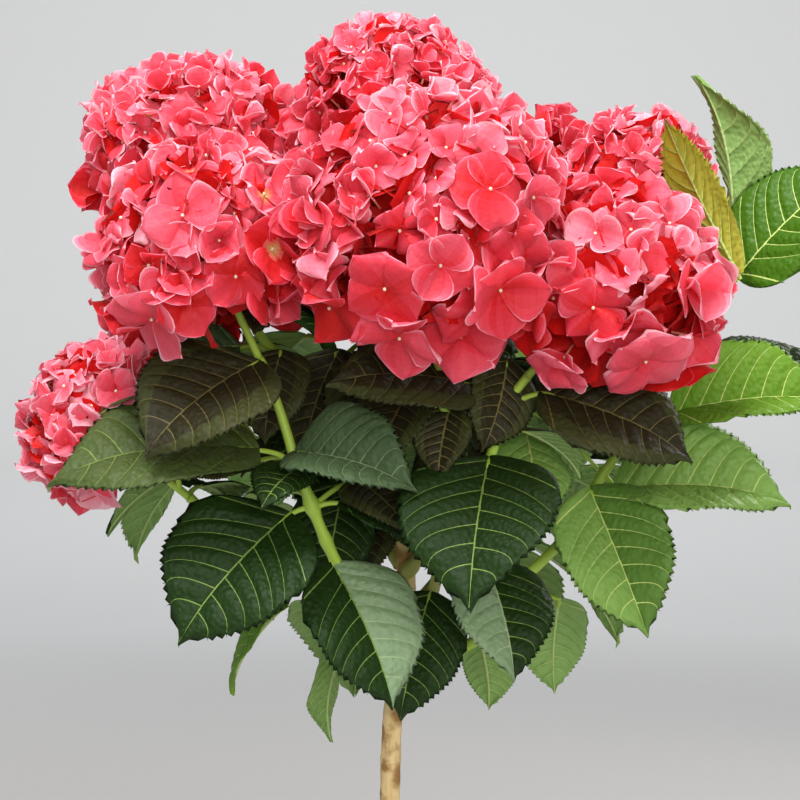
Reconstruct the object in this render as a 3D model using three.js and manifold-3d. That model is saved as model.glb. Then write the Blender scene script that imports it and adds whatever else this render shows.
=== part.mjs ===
// A coral mophead hydrangea grown as a standard: one bare woody stem in a terracotta pot, leafy
// green shoots from its top, and a domed head of four-sepalled florets on each flowering shoot.
// Millimetres, +Z up, the origin at the centre of the pot's underside, the plant's front at -Y.
import * as THREE from "three";
import { mergeVertices } from "three/addons/utils/BufferGeometryUtils.js";
import Module from "manifold-3d";

const wasm = await Module();
wasm.setup();

// Driving sizes
const GAP = 0.3; // air between neighbouring pieces
const POT_HEIGHT = 190;
const POT_FOOT_RADIUS = 76;
const POT_BODY_RADIUS = 98; // just under the collar
const POT_TOP_RADIUS = 110;
const COLLAR_HEIGHT = 40;
const POT_WALL = 8;
const POT_FLOOR = 12;
const SOIL_LEVEL = 172;
const TRUNK_TOP = 556;
const TRUNK_RADIUS = 6.4; // halfway up
const TRUNK_TAPER = 1.4; // how much thinner it is at its top
const FLARE_RADIUS = 6; // what the root flare adds at the soil
const FLARE_HEIGHT = 14; // over which the flare fades
const BOUGH_RADIUS = 4; // where a bough leaves the trunk
const SHOOT_RADIUS = 2.8; // the mean along a shoot
const STALK_RADIUS = 2; // a flower stalk in its head
const STALK_LENGTH = 75; // from where it leaves the last leaves to the middle of the head
const PETIOLE_RADIUS = 1.7;
const BLADE_THICKNESS = 2;
const BLADE_WIDTH = 0.76; // of the blade's length
const BLADE_ARCH = 0.07; // rise of the midrib over its chord, of the length
const BLADE_FOLD = 12; // how far the margins stand up from the midrib, in degrees
const BLADE_STATIONS = [0, 0.1, 0.34, 0.64, 0.86, 1]; // shares of a blade's length with a cross-section
const BLADE_ROOT = 0.08; // the share of a blade that its stalk reaches into
const FLORET_SPACING = 41; // across the dome
const FLORET_REACH = 23; // from a floret's eye to a sepal's tip
const FLORET_CUP = 5; // how deep the eye lies
const DOME_WRAP = THREE.MathUtils.degToRad(120); // how far florets go round from the top of a head
const FLORET_ROOT = 0.69; // how near the middle of its head a floret is rooted, of the head's reach
const CORE = 0.8; // the head's solid core, of its reach
const CORE_UNDERSIDE = 0.3; // how far the core goes on below its middle, of its reach
const GOLDEN_ANGLE = THREE.MathUtils.degToRad(137.508);
const FILL_LENGTH = [95, 125]; // a filling leaf, from the shortest to the longest
const FILL_PITCH = [-15, -50];
const FILL_STALK = 0.28; // a filling leaf's stalk, of its blade's length
const FILL_STALK_PITCH = 15;
const FILL_TURN = 15; // how far a filling leaf's heading and roll stray to each side, in degrees
const LEAF_CLEARANCE = 5; // between a filling leaf and what it might touch
const FLORET_ROOM = 12; // the radius of the room that each floret's seat takes
const FIRST_SEED = 4001;
const SEED_STEP = 37; // from one shoot's seed to the next

const finishes = {
  terracotta: { color: 0xb5653f, roughness: 0.9 },
  soil: { color: 0x3a2c22, roughness: 1 },
  bark: { color: 0x9a7a57, roughness: 0.85 },
  stem: { color: 0x93a356, roughness: 0.6 },
  leaf: { color: 0x2e4a2a, roughness: 0.45 },
  petal: { color: 0xf0566a, roughness: 0.7 },
};

const plant = new THREE.Group();

/** Adds a finished solid to the plant as a node. */
function addNode(name, geometry, finish) {
  const material = new THREE.MeshStandardMaterial({ metalness: 0, ...finishes[finish] });
  const mesh = new THREE.Mesh(geometry, material);
  mesh.name = name;
  plant.add(mesh);
}

// ---- joining and cutting ----

/** A closed geometry as a solid. */
function toSolid(geometry) {
  const loose = geometry.index ? geometry.toNonIndexed() : geometry;
  const shell = new THREE.BufferGeometry();
  shell.setAttribute("position", loose.getAttribute("position"));
  const merged = mergeVertices(shell, 1e-4);
  const vertProperties = merged.attributes.position.array;
  const triVerts = new Uint32Array(merged.index.array);
  return new wasm.Manifold(new wasm.Mesh({ numProp: 3, vertProperties, triVerts }));
}

/** The largest body of a solid, without loose scraps, as a geometry. */
function toGeometry(made) {
  const bodies = made.decompose().sort((a, b) => b.volume() - a.volume());
  const mesh = bodies[0].getMesh();
  const geometry = new THREE.BufferGeometry();
  geometry.setAttribute("position", new THREE.BufferAttribute(mesh.vertProperties, mesh.numProp));
  geometry.setIndex(new THREE.BufferAttribute(mesh.triVerts, 1));
  geometry.computeVertexNormals();
  return geometry;
}

/** One solid from several that overlap. */
function joined(solids) {
  return solids.reduce((whole, one) => whole.add(one));
}

// ---- the seeded rule ----

/** A Park-Miller generator of numbers from 0 to 1, the same in every run. */
function dealer(seed) {
  let state = seed;
  const modulus = 2147483647;
  return () => {
    state = (state * 16807) % modulus;
    return state / modulus;
  };
}

/** A unit vector from a heading round +Z and a pitch above the horizon, in degrees. */
function pointing(heading, pitch) {
  const h = THREE.MathUtils.degToRad(heading);
  const p = THREE.MathUtils.degToRad(pitch);
  return new THREE.Vector3(Math.cos(p) * Math.cos(h), Math.cos(p) * Math.sin(h), Math.sin(p));
}

// Room taken so far: points with a radius and the name of the shoot that they belong to.
const taken = [];

function take(owner, points, radius) {
  points.forEach((point) => taken.push({ owner, point, radius }));
}

function isClear(owner, points) {
  const others = taken.filter((one) => one.owner !== owner);
  return points.every((point) =>
    others.every((one) => point.distanceTo(one.point) > one.radius + LEAF_CLEARANCE),
  );
}

// ---- limbs ----

function curveThrough(points) {
  const vectors = points.map((p) => new THREE.Vector3(...p));
  return new THREE.CatmullRomCurve3(vectors, false, "catmullrom", 0.5);
}

/** A tapering limb: a closed cylinder bent along part of a curve, from one share to another. */
function limb(curve, from, to, radiusAt, sides, steps) {
  const chord = curve.getPoint(1).sub(curve.getPoint(0));
  const level = new THREE.Vector3(chord.y, -chord.x, 0);
  if (level.length() < 1) level.set(1, 0, 0);
  const shape = new THREE.CylinderGeometry(1, 1, 1, sides, steps);
  const place = shape.attributes.position;
  for (let i = 0; i < place.count; i++) {
    const share = THREE.MathUtils.lerp(from, to, place.getY(i) + 0.5);
    const along = curve.getTangentAt(share);
    const side = level.clone().addScaledVector(along, -level.dot(along)).normalize();
    const out = side.clone().cross(along);
    const radius = radiusAt(share);
    const point = curve.getPointAt(share);
    point.addScaledVector(side, place.getX(i) * radius).addScaledVector(out, place.getZ(i) * radius);
    place.setXYZ(i, point.x, point.y, point.z);
  }
  return shape;
}

function curvePoints(curve, from, to, spacing) {
  const count = Math.ceil(((to - from) * curve.getLength()) / spacing);
  return Array.from({ length: count + 1 }, (_, i) =>
    curve.getPointAt(THREE.MathUtils.lerp(from, to, i / count)),
  );
}

// ---- the pot and what fills it ----

function potSection() {
  const collarFoot = POT_HEIGHT - COLLAR_HEIGHT;
  const floorRadius = POT_FOOT_RADIUS - POT_WALL;
  return [
    [0, 0],
    [POT_FOOT_RADIUS - 3, 0],
    [POT_FOOT_RADIUS, 3],
    [POT_BODY_RADIUS, collarFoot],
    [POT_TOP_RADIUS - 4, collarFoot + 3],
    [POT_TOP_RADIUS, POT_HEIGHT - 3],
    [POT_TOP_RADIUS - 3, POT_HEIGHT],
    [POT_TOP_RADIUS - POT_WALL, POT_HEIGHT],
    [POT_TOP_RADIUS - POT_WALL - 2, SOIL_LEVEL - 4],
    [POT_BODY_RADIUS - POT_WALL, collarFoot - 6],
    [floorRadius, POT_FLOOR],
    [0, POT_FLOOR],
  ].map(([radius, height]) => new THREE.Vector2(radius, height));
}

function soilSection() {
  const collarFoot = POT_HEIGHT - COLLAR_HEIGHT;
  const floorRadius = POT_FOOT_RADIUS - POT_WALL;
  return [
    [0, POT_FLOOR + GAP],
    [floorRadius - 2 * GAP, POT_FLOOR + GAP],
    [POT_BODY_RADIUS - POT_WALL - 2 * GAP, collarFoot - 6],
    [POT_TOP_RADIUS - POT_WALL - 2 - 2 * GAP, SOIL_LEVEL - 4],
    [POT_TOP_RADIUS / 2, SOIL_LEVEL],
    [0, SOIL_LEVEL],
  ].map(([radius, height]) => new THREE.Vector2(radius, height));
}

/** A turned solid standing on +Z from a section of radii and heights. */
function turned(section) {
  return toGeometry(toSolid(new THREE.LatheGeometry(section, 28).rotateX(Math.PI / 2)));
}

addNode("pot", turned(potSection()), "terracotta");
addNode("soil", turned(soilSection()), "soil");

// ---- the trunk ----

const trunkCurve = curveThrough([
  [-3, 0, SOIL_LEVEL + GAP],
  [-3, 0, 240],
  [-6, 0, 330],
  [-5, 0, 410],
  [4, 0, 500],
  [-4, 0, TRUNK_TOP],
]);

function trunkRadius(share, spare = 0) {
  const height = share * trunkCurve.getLength();
  const flare = FLARE_RADIUS * Math.exp(-height / FLARE_HEIGHT);
  return TRUNK_RADIUS + TRUNK_TAPER * (0.5 - share) + flare + spare;
}

addNode("trunk", toGeometry(toSolid(limb(trunkCurve, 0, 1, trunkRadius, 9, 16))), "bark");
const trunkWithGap = toSolid(limb(trunkCurve, 0, 1, (share) => trunkRadius(share, GAP), 9, 16));

// ---- the shoots ----
// Each has its way from the trunk, its head, its leaves and its pairs of filling leaves. A leaf's
// row: the share of the shoot where it grows, its blade's foot, heading, pitch, length and roll, and
// its fold and width where they aren't the usual ones. A filling pair's row: its share and heading.

const shoots = {
  left: {
    way: [[-4, -2, 470], [-36, -42, 516], [-60, -52, 575], [-78, -52, 630]],
    head: { centre: [-114, -70, 714], across: 64, deep: 60, axis: [-0.3, -0.5, 0.8] },
    leaves: [
      [0.72, [-87, -60, 646], -143, -31, 90, -25],
      [0.5, [-85, -45, 591], -169, -6, 130, -24],
      [0.4, [-70, -45, 553], -148, -42, 104, -35],
      [0.5, [-63, -60, 591], -40, -8, 95, 38, 34],
      [0.5, [-58, -64, 583], -118, -20, 52, -10],
      [0.32, [-42, -46, 522], -40, -58, 98, 22],
      [0.4, [-28, -38, 572], -50, -25, 58, 20],
      [0.5, [-88, -24, 582], -172, -12, 45, -30],
    ],
    fill: [],
  },
  front: {
    way: [[-2, -3, 442], [20, -24, 498], [30, -62, 575], [22, -85, 650]],
    head: { centre: [17, -106, 728], across: 81, deep: 78, axis: [0, -0.6, 0.8] },
    leaves: [
      [0.2, [19, -27, 501], -126, -66, 82, -25],
      [0.6, [46, -78, 632], -164, 4, 92, -36],
      [0.5, [10, -42, 632], -120, -45, 70, 0],
    ],
    fill: [],
  },
  front_right: {
    way: [[2, -2, 506], [30, -34, 545], [53, -70, 587], [66, -75, 625]],
    head: { centre: [124, -88, 694], across: 61, deep: 58, axis: [0.35, -0.6, 0.7] },
    leaves: [
      [0.42, [53, -78, 590], -109, -40, 114, 0],
      [0.3, [52, -42, 522], -73, -47, 84, 0],
      [0.6, [82, -80, 629], -10, -22, 100, 40],
      [0.6, [64, -68, 648], -124, -64, 60, -60],
    ],
    fill: [],
  },
  right: {
    way: [[-3, 0, 458], [55, -6, 490], [97, -8, 525], [124, -10, 568], [159, 0, 617], [206, 8, 690]],
    leaves: [
      [0.55, [132, -15, 563], -11, -2, 110, 38, 30],
      [0.72, [167, -5, 609], -6, 6, 104, 46, 38],
      [0.8, [188, 45, 618], 12, 12, 98, 20],
      [0.99, [208, -26, 694], -144, 56, 118, 60, 35, 0.32],
      [0.99, [212, 38, 703], 160, 81, 120, 40, 25, 0.6],
      [0.93, [210, 2, 693], -12, 44, 100, 50],
      [0.45, [116, -28, 566], -47, -60, 100, 35],
    ],
    fill: [],
  },
  right_head: {
    way: [[-1, 0, 543], [50, 18, 590], [110, 26, 645], [140, 24, 690]],
    head: { centre: [149, 20, 748], across: 49, deep: 48, axis: [0.4, 0.1, 0.9] },
    leaves: [
      [0.4, [126, 22, 572], 12, -60, 48, 0],
      [0.3, [78, -8, 600], -78, -60, 66, 0],
      [0.5, [92, 10, 640], -150, -40, 80, -20],
    ],
    fill: [[0.6, 60]],
  },
  left_low: {
    way: [[3, 0, 500], [-50, 4, 512], [-105, 8, 535], [-141, 10, 561]],
    head: { centre: [-190, 18, 602], across: 52, deep: 45, axis: [-0.8, -0.35, 0.5] },
    leaves: [
      [0.5, [-105, 14, 514], 173, -36, 52, 0],
      [0.7, [-145, -18, 620], -165, -9, 42, 0],
      [0.3, [-71, 0, 489], -173, -55, 68, 0],
      [0.45, [-95, 32, 548], 98, -38, 85, 0],
    ],
    fill: [],
  },
  back_left: {
    way: [[-3, 0, 534], [-50, 30, 600], [-100, 48, 670], [-122, 54, 712]],
    head: { centre: [-133, 60, 772], across: 72, deep: 60, axis: [-0.1, 0.1, 0.95] },
    leaves: [
      [0.35, [-74, 6, 648], -105, -55, 66, 0],
      [0.5, [-100, 6, 650], -172, -8, 58, -30],
      [0.6, [-104, 48, 688], -172, 5, 66, 0],
    ],
    fill: [[0.45, 100], [0.65, 20]],
  },
  top: {
    way: [[-3, 0, 550], [-4, 22, 600], [-6, 40, 670], [-4, 46, 730]],
    head: { centre: [-3, 50, 795], across: 64, deep: 62, axis: [0, 0.2, 1] },
    leaves: [
      [0.35, [-14, 4, 646], -95, -58, 82, 0],
      [0.4, [38, 4, 652], -75, -58, 72, 0],
      [0.6, [-40, 50, 690], -170, 20, 80, 20],
      [0.6, [34, 52, 690], 10, 25, 80, -20],
    ],
    fill: [[0.45, 30], [0.6, 120]],
  },
  rear_right: {
    way: [[-1, 0, 523], [30, 50, 590], [62, 105, 650], [76, 132, 685]],
    head: { centre: [88, 150, 730], across: 68, deep: 60, axis: [0.3, 0.7, 0.65] },
    leaves: [
      [0.3, [34, 14, 600], -70, -75, 90, 0],
      [0.35, [42, 88, 598], 72, -45, 105, 0],
      [0.55, [92, 88, 668], -20, 10, 80, 20],
    ],
    fill: [[0.35, 60], [0.5, 150], [0.65, 60]],
  },
  rear_left: {
    way: [[0, 0, 512], [-25, 55, 580], [-48, 115, 650], [-58, 140, 680]],
    head: { centre: [-62, 162, 718], across: 64, deep: 58, axis: [-0.3, 0.7, 0.65] },
    leaves: [
      [0.3, [-34, 12, 566], -110, -65, 80, 0],
      [0.35, [-36, 92, 592], 105, -45, 105, 0],
      [0.6, [-10, 124, 655], 65, -30, 90, 0],
    ],
    fill: [[0.35, 120], [0.5, 30], [0.65, 120]],
  },
  rear_low_left: {
    way: [[2, 0, 489], [-40, 45, 525], [-95, 92, 580], [-118, 112, 610]],
    head: { centre: [-144, 134, 646], across: 50, deep: 46, axis: [-0.6, 0.6, 0.5] },
    leaves: [
      [0.3, [-55, 76, 532], 118, -45, 105, 0],
      [0.45, [-110, 78, 578], -170, -30, 100, 20],
      [0.55, [-96, 118, 582], 88, -38, 95, 0],
    ],
    fill: [[0.3, 150], [0.45, 60], [0.6, 150]],
  },
  rear_low_right: {
    way: [[1, 0, 477], [40, 50, 515], [88, 100, 570], [104, 118, 598]],
    head: { centre: [124, 144, 636], across: 52, deep: 48, axis: [0.55, 0.65, 0.5] },
    leaves: [
      [0.3, [56, 78, 515], 65, -50, 105, 0],
      [0.45, [102, 88, 562], 30, -30, 85, -20],
      [0.55, [104, 122, 560], 78, -40, 95, 0],
    ],
    fill: [[0.3, 40], [0.45, 130], [0.6, 40]],
  },
  low_left: {
    way: [[-5, 0, 428], [-25, 14, 444], [-40, 28, 470]],
    leaves: [[0.7, [-35, 22, 461], 160, -78, 68, 0]],
    fill: [[0.95, 100]],
  },
  low_right: {
    way: [[-4, 0, 434], [40, 36, 452], [90, 44, 490]],
    leaves: [
      [0.55, [52, 42, 458], 65, -70, 52, 0],
      [0.95, [103, 42, 485], 107, -80, 65, 0],
    ],
    fill: [],
  },
};

const BOUGH_END = 0.26; // the share of a shoot's way where its leaves begin

function shootRadius(share) {
  return THREE.MathUtils.lerp(BOUGH_RADIUS, STALK_RADIUS, share);
}

// ---- heads ----

/** Two unit vectors square to an axis and to each other, the first of them level. */
function acrossOf(axis) {
  const level = new THREE.Vector3(axis.y, -axis.x, 0);
  if (level.length() < 0.01) level.set(1, 0, 0);
  level.normalize();
  return [level, level.clone().cross(axis)];
}

/** A point on a head's dome, from the turn round its axis and the angle down from its top. */
function onDome(head, turn, fall, scale) {
  const [u, v] = acrossOf(head.up);
  return head.middle
    .clone()
    .addScaledVector(u, Math.cos(turn) * Math.sin(fall) * head.across * scale)
    .addScaledVector(v, Math.sin(turn) * Math.sin(fall) * head.across * scale)
    .addScaledVector(head.up, Math.cos(fall) * head.deep * scale);
}

/** Where a head's florets sit: a spiral that gives each the same share of the dome. */
function floretSeats(head) {
  const share = 1 - Math.cos(DOME_WRAP);
  const area = 2 * Math.PI * head.across * head.deep * share;
  const count = Math.round(area / FLORET_SPACING ** 2);
  return Array.from({ length: count }, (_, i) => ({
    turn: i * GOLDEN_ANGLE,
    fall: Math.acos(1 - ((i + 0.5) / count) * share),
  }));
}

/** Whether a point lies past the plane between a head and its neighbour. */
function isPast(head, other, point) {
  const between = other.middle.clone().sub(head.middle);
  const reach = head.across / (head.across + other.across);
  return point.clone().sub(head.middle).dot(between) > reach * between.lengthSq();
}

/** A floret as a shallow four-cornered cup whose root is sunk in the core. */
function floret(head, seat, spin) {
  const eye = onDome(head, seat.turn, seat.fall, 1);
  const root = onDome(head, seat.turn, seat.fall, FLORET_ROOT);
  const out = eye.clone().sub(root).normalize();
  const [u, v] = acrossOf(out);
  const shape = new THREE.OctahedronGeometry(1);
  const place = shape.attributes.position;
  for (let i = 0; i < place.count; i++) {
    const height = place.getY(i);
    const point = height < -0.5 ? root.clone() : eye.clone();
    if (height > 0.5) point.addScaledVector(out, -FLORET_CUP);
    const turn = Math.atan2(place.getZ(i), place.getX(i)) + spin;
    const reach = Math.abs(height) > 0.5 ? 0 : FLORET_REACH;
    point.addScaledVector(u, Math.cos(turn) * reach).addScaledVector(v, Math.sin(turn) * reach);
    place.setXYZ(i, point.x, point.y, point.z);
  }
  return toSolid(shape);
}

/** The dense middle of a head, flat underneath. */
function headCore(head) {
  const [u, v] = acrossOf(head.up);
  const shape = new THREE.SphereGeometry(1, 8, 6);
  const place = shape.attributes.position;
  for (let i = 0; i < place.count; i++) {
    const height = Math.max(place.getY(i), -CORE_UNDERSIDE);
    const point = head.middle
      .clone()
      .addScaledVector(u, place.getX(i) * head.across * CORE)
      .addScaledVector(v, place.getZ(i) * head.across * CORE)
      .addScaledVector(head.up, height * head.deep * CORE);
    place.setXYZ(i, point.x, point.y, point.z);
  }
  return toSolid(shape);
}

/** The side of the plane between two heads that the first one leaves free, as a block. */
function beyondMiddle(head, other) {
  const between = other.middle.clone().sub(head.middle);
  const reach = head.across / (head.across + other.across);
  const size = 400;
  const block = new THREE.BoxGeometry(size, size, size);
  block.translate(0, 0, (size - GAP) / 2);
  block.applyQuaternion(
    new THREE.Quaternion().setFromUnitVectors(new THREE.Vector3(0, 0, 1), between.clone().normalize()),
  );
  const seat = head.middle.clone().addScaledVector(between, reach);
  return toSolid(block.translate(seat.x, seat.y, seat.z));
}

// ---- leaves ----

/** A leaf's own axes: along its midrib, across it, and up from its face. */
function leafAxes(leaf) {
  const along = pointing(leaf.heading, leaf.pitch);
  const level = pointing(leaf.heading + 90, 0);
  const up = along.clone().cross(level);
  const roll = THREE.MathUtils.degToRad(leaf.roll);
  const side = level.clone().multiplyScalar(Math.cos(roll)).addScaledVector(up, Math.sin(roll));
  return { along, side, up: along.clone().cross(side) };
}

/** Half the width of a blade of width 1 along its length: broad near the foot, drawn out at the tip. */
function bladeHalfWidth(share) {
  return 0.5 * Math.pow(Math.sin(Math.PI * Math.pow(share, 0.65)), 0.85);
}

/** A point of a blade: share along it, and -1 to 1 across it. */
function onBlade(leaf, share, across) {
  const { along, side, up } = leafAxes(leaf);
  const half = bladeHalfWidth(share) * leaf.width * across;
  const fold = THREE.MathUtils.degToRad(leaf.fold);
  const rise = BLADE_ARCH * 4 * share * (1 - share) + Math.sin(fold) * Math.abs(half);
  return leaf.foot
    .clone()
    .addScaledVector(along, leaf.length * share)
    .addScaledVector(side, leaf.length * half * Math.cos(fold))
    .addScaledVector(up, leaf.length * rise);
}

/** A blade: a sphere of four meridians flattened to margins, midrib above and midrib below. */
function blade(leaf) {
  const { up } = leafAxes(leaf);
  const rings = BLADE_STATIONS.length - 1;
  const shape = new THREE.SphereGeometry(1, 4, rings);
  const place = shape.attributes.position;
  for (let i = 0; i < place.count; i++) {
    const fall = Math.acos(THREE.MathUtils.clamp(-place.getY(i), -1, 1));
    const ring = Math.round((rings * fall) / Math.PI);
    const girth = Math.sin((Math.PI * ring) / rings);
    const across = girth > 0.1 ? Math.round(place.getZ(i) / girth) : 0;
    const face = girth > 0.1 ? Math.round(place.getX(i) / girth) : 0;
    const point = onBlade(leaf, BLADE_STATIONS[ring], across);
    point.addScaledVector(up, (face * BLADE_THICKNESS) / 2);
    place.setXYZ(i, point.x, point.y, point.z);
  }
  return toSolid(shape);
}

function petiole(leaf) {
  const end = onBlade(leaf, BLADE_ROOT, 0);
  const length = leaf.root.distanceTo(end);
  const shape = new THREE.CylinderGeometry(PETIOLE_RADIUS * 0.8, PETIOLE_RADIUS, length, 3);
  shape.translate(0, length / 2, 0);
  const turn = new THREE.Quaternion().setFromUnitVectors(
    new THREE.Vector3(0, 1, 0),
    end.clone().sub(leaf.root).normalize(),
  );
  shape.applyQuaternion(turn).translate(leaf.root.x, leaf.root.y, leaf.root.z);
  return toSolid(shape);
}

/** Points all over a blade and along its petiole, for the test of clear room. */
function leafPoints(leaf) {
  const points = [];
  for (let i = 0; i <= 12; i++)
    for (let j = -4; j <= 4; j++) points.push(onBlade(leaf, i / 12, j / 4));
  for (let i = 2; i <= 4; i++) points.push(leaf.root.clone().lerp(leaf.foot, i / 4));
  return points;
}

/** A pair of filling leaves, opposite each other on the shoot, by the seeded rule. */
function leafPair(curve, share, heading, deal) {
  return [0, 180].map((turn) => {
    const root = curve.getPointAt(share);
    const facing = heading + turn + THREE.MathUtils.lerp(-FILL_TURN, FILL_TURN, deal());
    const length = THREE.MathUtils.lerp(...FILL_LENGTH, deal());
    const stalk = pointing(facing, FILL_STALK_PITCH).multiplyScalar(FILL_STALK * length);
    const foot = root.clone().add(stalk);
    const pitch = THREE.MathUtils.lerp(...FILL_PITCH, deal());
    const roll = THREE.MathUtils.lerp(-FILL_TURN, FILL_TURN, deal());
    return { root, foot, heading: facing, pitch, length, roll, fold: BLADE_FOLD, width: BLADE_WIDTH };
  });
}

// ---- growing the shoots: heads and limbs take their room first, then leaves where it is clear ----

const grown = Object.entries(shoots).map(([name, plan], index) => {
  const curve = curveThrough(plan.head ? [...plan.way, plan.head.centre] : plan.way);
  const stemEnd = plan.head ? 1 - STALK_LENGTH / curve.getLength() : 1;
  const shoot = { name, plan, curve, stemEnd, deal: dealer(FIRST_SEED + SEED_STEP * index) };
  if (plan.head) {
    shoot.head = {
      ...plan.head,
      middle: new THREE.Vector3(...plan.head.centre),
      up: new THREE.Vector3(...plan.head.axis).normalize(),
    };
    shoot.seats = floretSeats(shoot.head);
    const seats = shoot.seats.map(({ turn, fall }) => onDome(shoot.head, turn, fall, 0.85));
    take(name + "_head", seats, FLORET_ROOM);
  }
  take(name, curvePoints(curve, 0.1, 1, 8), SHOOT_RADIUS);
  return shoot;
});
take("trunk", curvePoints(trunkCurve, 0, 1, 8), TRUNK_RADIUS);

grown.forEach((shoot) => {
  shoot.leaves = shoot.plan.leaves.map((row) => {
    const [share, foot, heading, pitch, length, roll, fold = BLADE_FOLD, width = BLADE_WIDTH] = row;
    const root = shoot.curve.getPointAt(share);
    return { root, foot: new THREE.Vector3(...foot), heading, pitch, length, roll, fold, width };
  });
  shoot.leaves.forEach((leaf) => take(shoot.name, leafPoints(leaf), 0));
});

grown.forEach(({ name, plan, curve, leaves, deal }) => {
  const pairs = plan.fill.flatMap(([share, heading]) => leafPair(curve, share, heading, deal));
  pairs.forEach((leaf) => {
    const points = leafPoints(leaf);
    if (!isClear(name, points)) return;
    take(name, points, 0);
    leaves.push(leaf);
  });
});

grown.forEach(({ name, curve, stemEnd, leaves }) => {
  const stemStart = BOUGH_END + GAP / curve.getLength();
  const bough = toSolid(limb(curve, 0, BOUGH_END, shootRadius, 7, 4)).subtract(trunkWithGap);
  addNode("bough_" + name, toGeometry(bough), "stem");
  const stem = toSolid(limb(curve, stemStart, stemEnd, shootRadius, 6, 6));
  const foliage = joined([stem, ...leaves.flatMap((leaf) => [petiole(leaf), blade(leaf)])]);
  addNode("leaves_" + name, toGeometry(foliage), "leaf");
});

const flowering = grown.filter(({ head }) => head);
flowering.forEach(({ name, curve, stemEnd, head, seats, deal }) => {
  const neighbours = flowering
    .map(({ head: other }) => other)
    .filter((other) => other !== head)
    .filter((other) => {
      const reach = head.across + other.across + 2 * FLORET_REACH;
      return head.middle.distanceTo(other.middle) < reach;
    });
  const florets = seats
    .filter(({ turn, fall }) => {
      const eye = onDome(head, turn, fall, 1);
      return !neighbours.some((other) => isPast(head, other, eye));
    })
    .map((seat) => floret(head, seat, deal() * Math.PI));
  const stalkStart = stemEnd + GAP / curve.getLength();
  const stalk = toSolid(limb(curve, stalkStart, 0.98, shootRadius, 6, 2));
  const whole = joined([headCore(head), ...florets, stalk]);
  const dome = neighbours.reduce((rest, other) => rest.subtract(beyondMiddle(head, other)), whole);
  addNode("head_" + name, toGeometry(dome), "petal");
});

export default plant;
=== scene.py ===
import math

import bpy
import numpy as np
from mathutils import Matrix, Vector, noise


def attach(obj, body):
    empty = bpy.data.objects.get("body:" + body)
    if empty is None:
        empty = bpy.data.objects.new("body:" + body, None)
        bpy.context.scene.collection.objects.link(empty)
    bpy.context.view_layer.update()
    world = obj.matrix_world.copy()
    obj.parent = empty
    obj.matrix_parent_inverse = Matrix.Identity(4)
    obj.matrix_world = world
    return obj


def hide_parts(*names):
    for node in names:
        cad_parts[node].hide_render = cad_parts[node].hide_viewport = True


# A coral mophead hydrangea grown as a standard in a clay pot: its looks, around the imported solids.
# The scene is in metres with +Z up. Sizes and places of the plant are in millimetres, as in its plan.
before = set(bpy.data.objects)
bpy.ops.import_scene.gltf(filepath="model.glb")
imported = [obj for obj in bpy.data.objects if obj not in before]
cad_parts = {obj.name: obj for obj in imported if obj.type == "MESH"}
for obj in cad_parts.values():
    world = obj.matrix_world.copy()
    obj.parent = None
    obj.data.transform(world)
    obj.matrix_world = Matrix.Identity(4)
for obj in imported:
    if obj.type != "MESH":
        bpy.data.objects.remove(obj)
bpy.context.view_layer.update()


# ---- The studio ----
# A seamless paper sweep: a matt, pale grey floor that curves up into a round wall, so that no edge
# shows. A wide soft light hangs over the plant, one behind it to the right shines through the thin
# leaves, a weaker one fills in from the front and one washes the wall behind.

MM = 0.001
SWEEP_FLOOR = 5.0
SWEEP_CURVE = 1.6
SWEEP_WALL = 3.2
PAPER_NEAR, PAPER_FAR = "#bdbbba", "#e8e8e8"
PAPER_TOOTH = 33  # drawn far coarser than the real tooth, which is too fine to show
LENS = 108
SENSOR = 36
CAMERA_TILT = math.radians(5)
CAMERA_DISTANCE = 1.5
CROWN_MIDDLE = Vector((0, 0, 0.617))


def linear(hex_colour):
    """The linear red, green, blue and full alpha of an sRGB hex colour."""
    value = int(hex_colour[1:], 16)
    shares = [(value >> shift & 255) / 255 for shift in (16, 8, 0)]
    return (*(s / 12.92 if s <= 0.04045 else ((s + 0.055) / 1.055) ** 2.4 for s in shares), 1.0)


def add_node(tree, kind, inputs=(), **settings):
    """Adds a shader node with its settings, and with inputs that are values, hex colours, sockets or
    nodes, which stand for their first output."""
    node = tree.nodes.new("ShaderNode" + kind)
    for name, value in settings.items():
        setattr(node, name, value)
    for name, value in dict(inputs).items():
        value = linear(value) if isinstance(value, str) else value
        value = value.outputs[0] if isinstance(value, bpy.types.Node) else value
        if isinstance(value, bpy.types.NodeSocket):
            tree.links.new(value, node.inputs[name])
        else:
            node.inputs[name].default_value = value
    return node


def start_material(name):
    """A new material, its empty node tree and the place on the object that its patterns follow."""
    material = bpy.data.materials.new(name)
    material.use_nodes = True
    tree = material.node_tree
    tree.nodes.clear()
    return material, tree, add_node(tree, "TexCoord").outputs["Object"]


def coat(material, tree, skin, thin=None):
    """Closes a material with its skin and, where it is thin, the share and colour of light let in."""
    surface = add_node(tree, "BsdfPrincipled", {"Specular IOR Level": 0.3, **skin})
    if thin:
        glow = add_node(tree, "BsdfTranslucent", {"Color": thin[1]})
        surface = add_node(tree, "MixShader", {0: thin[0], 1: surface, 2: glow})
    add_node(tree, "OutputMaterial", {"Surface": surface})
    return material


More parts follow.
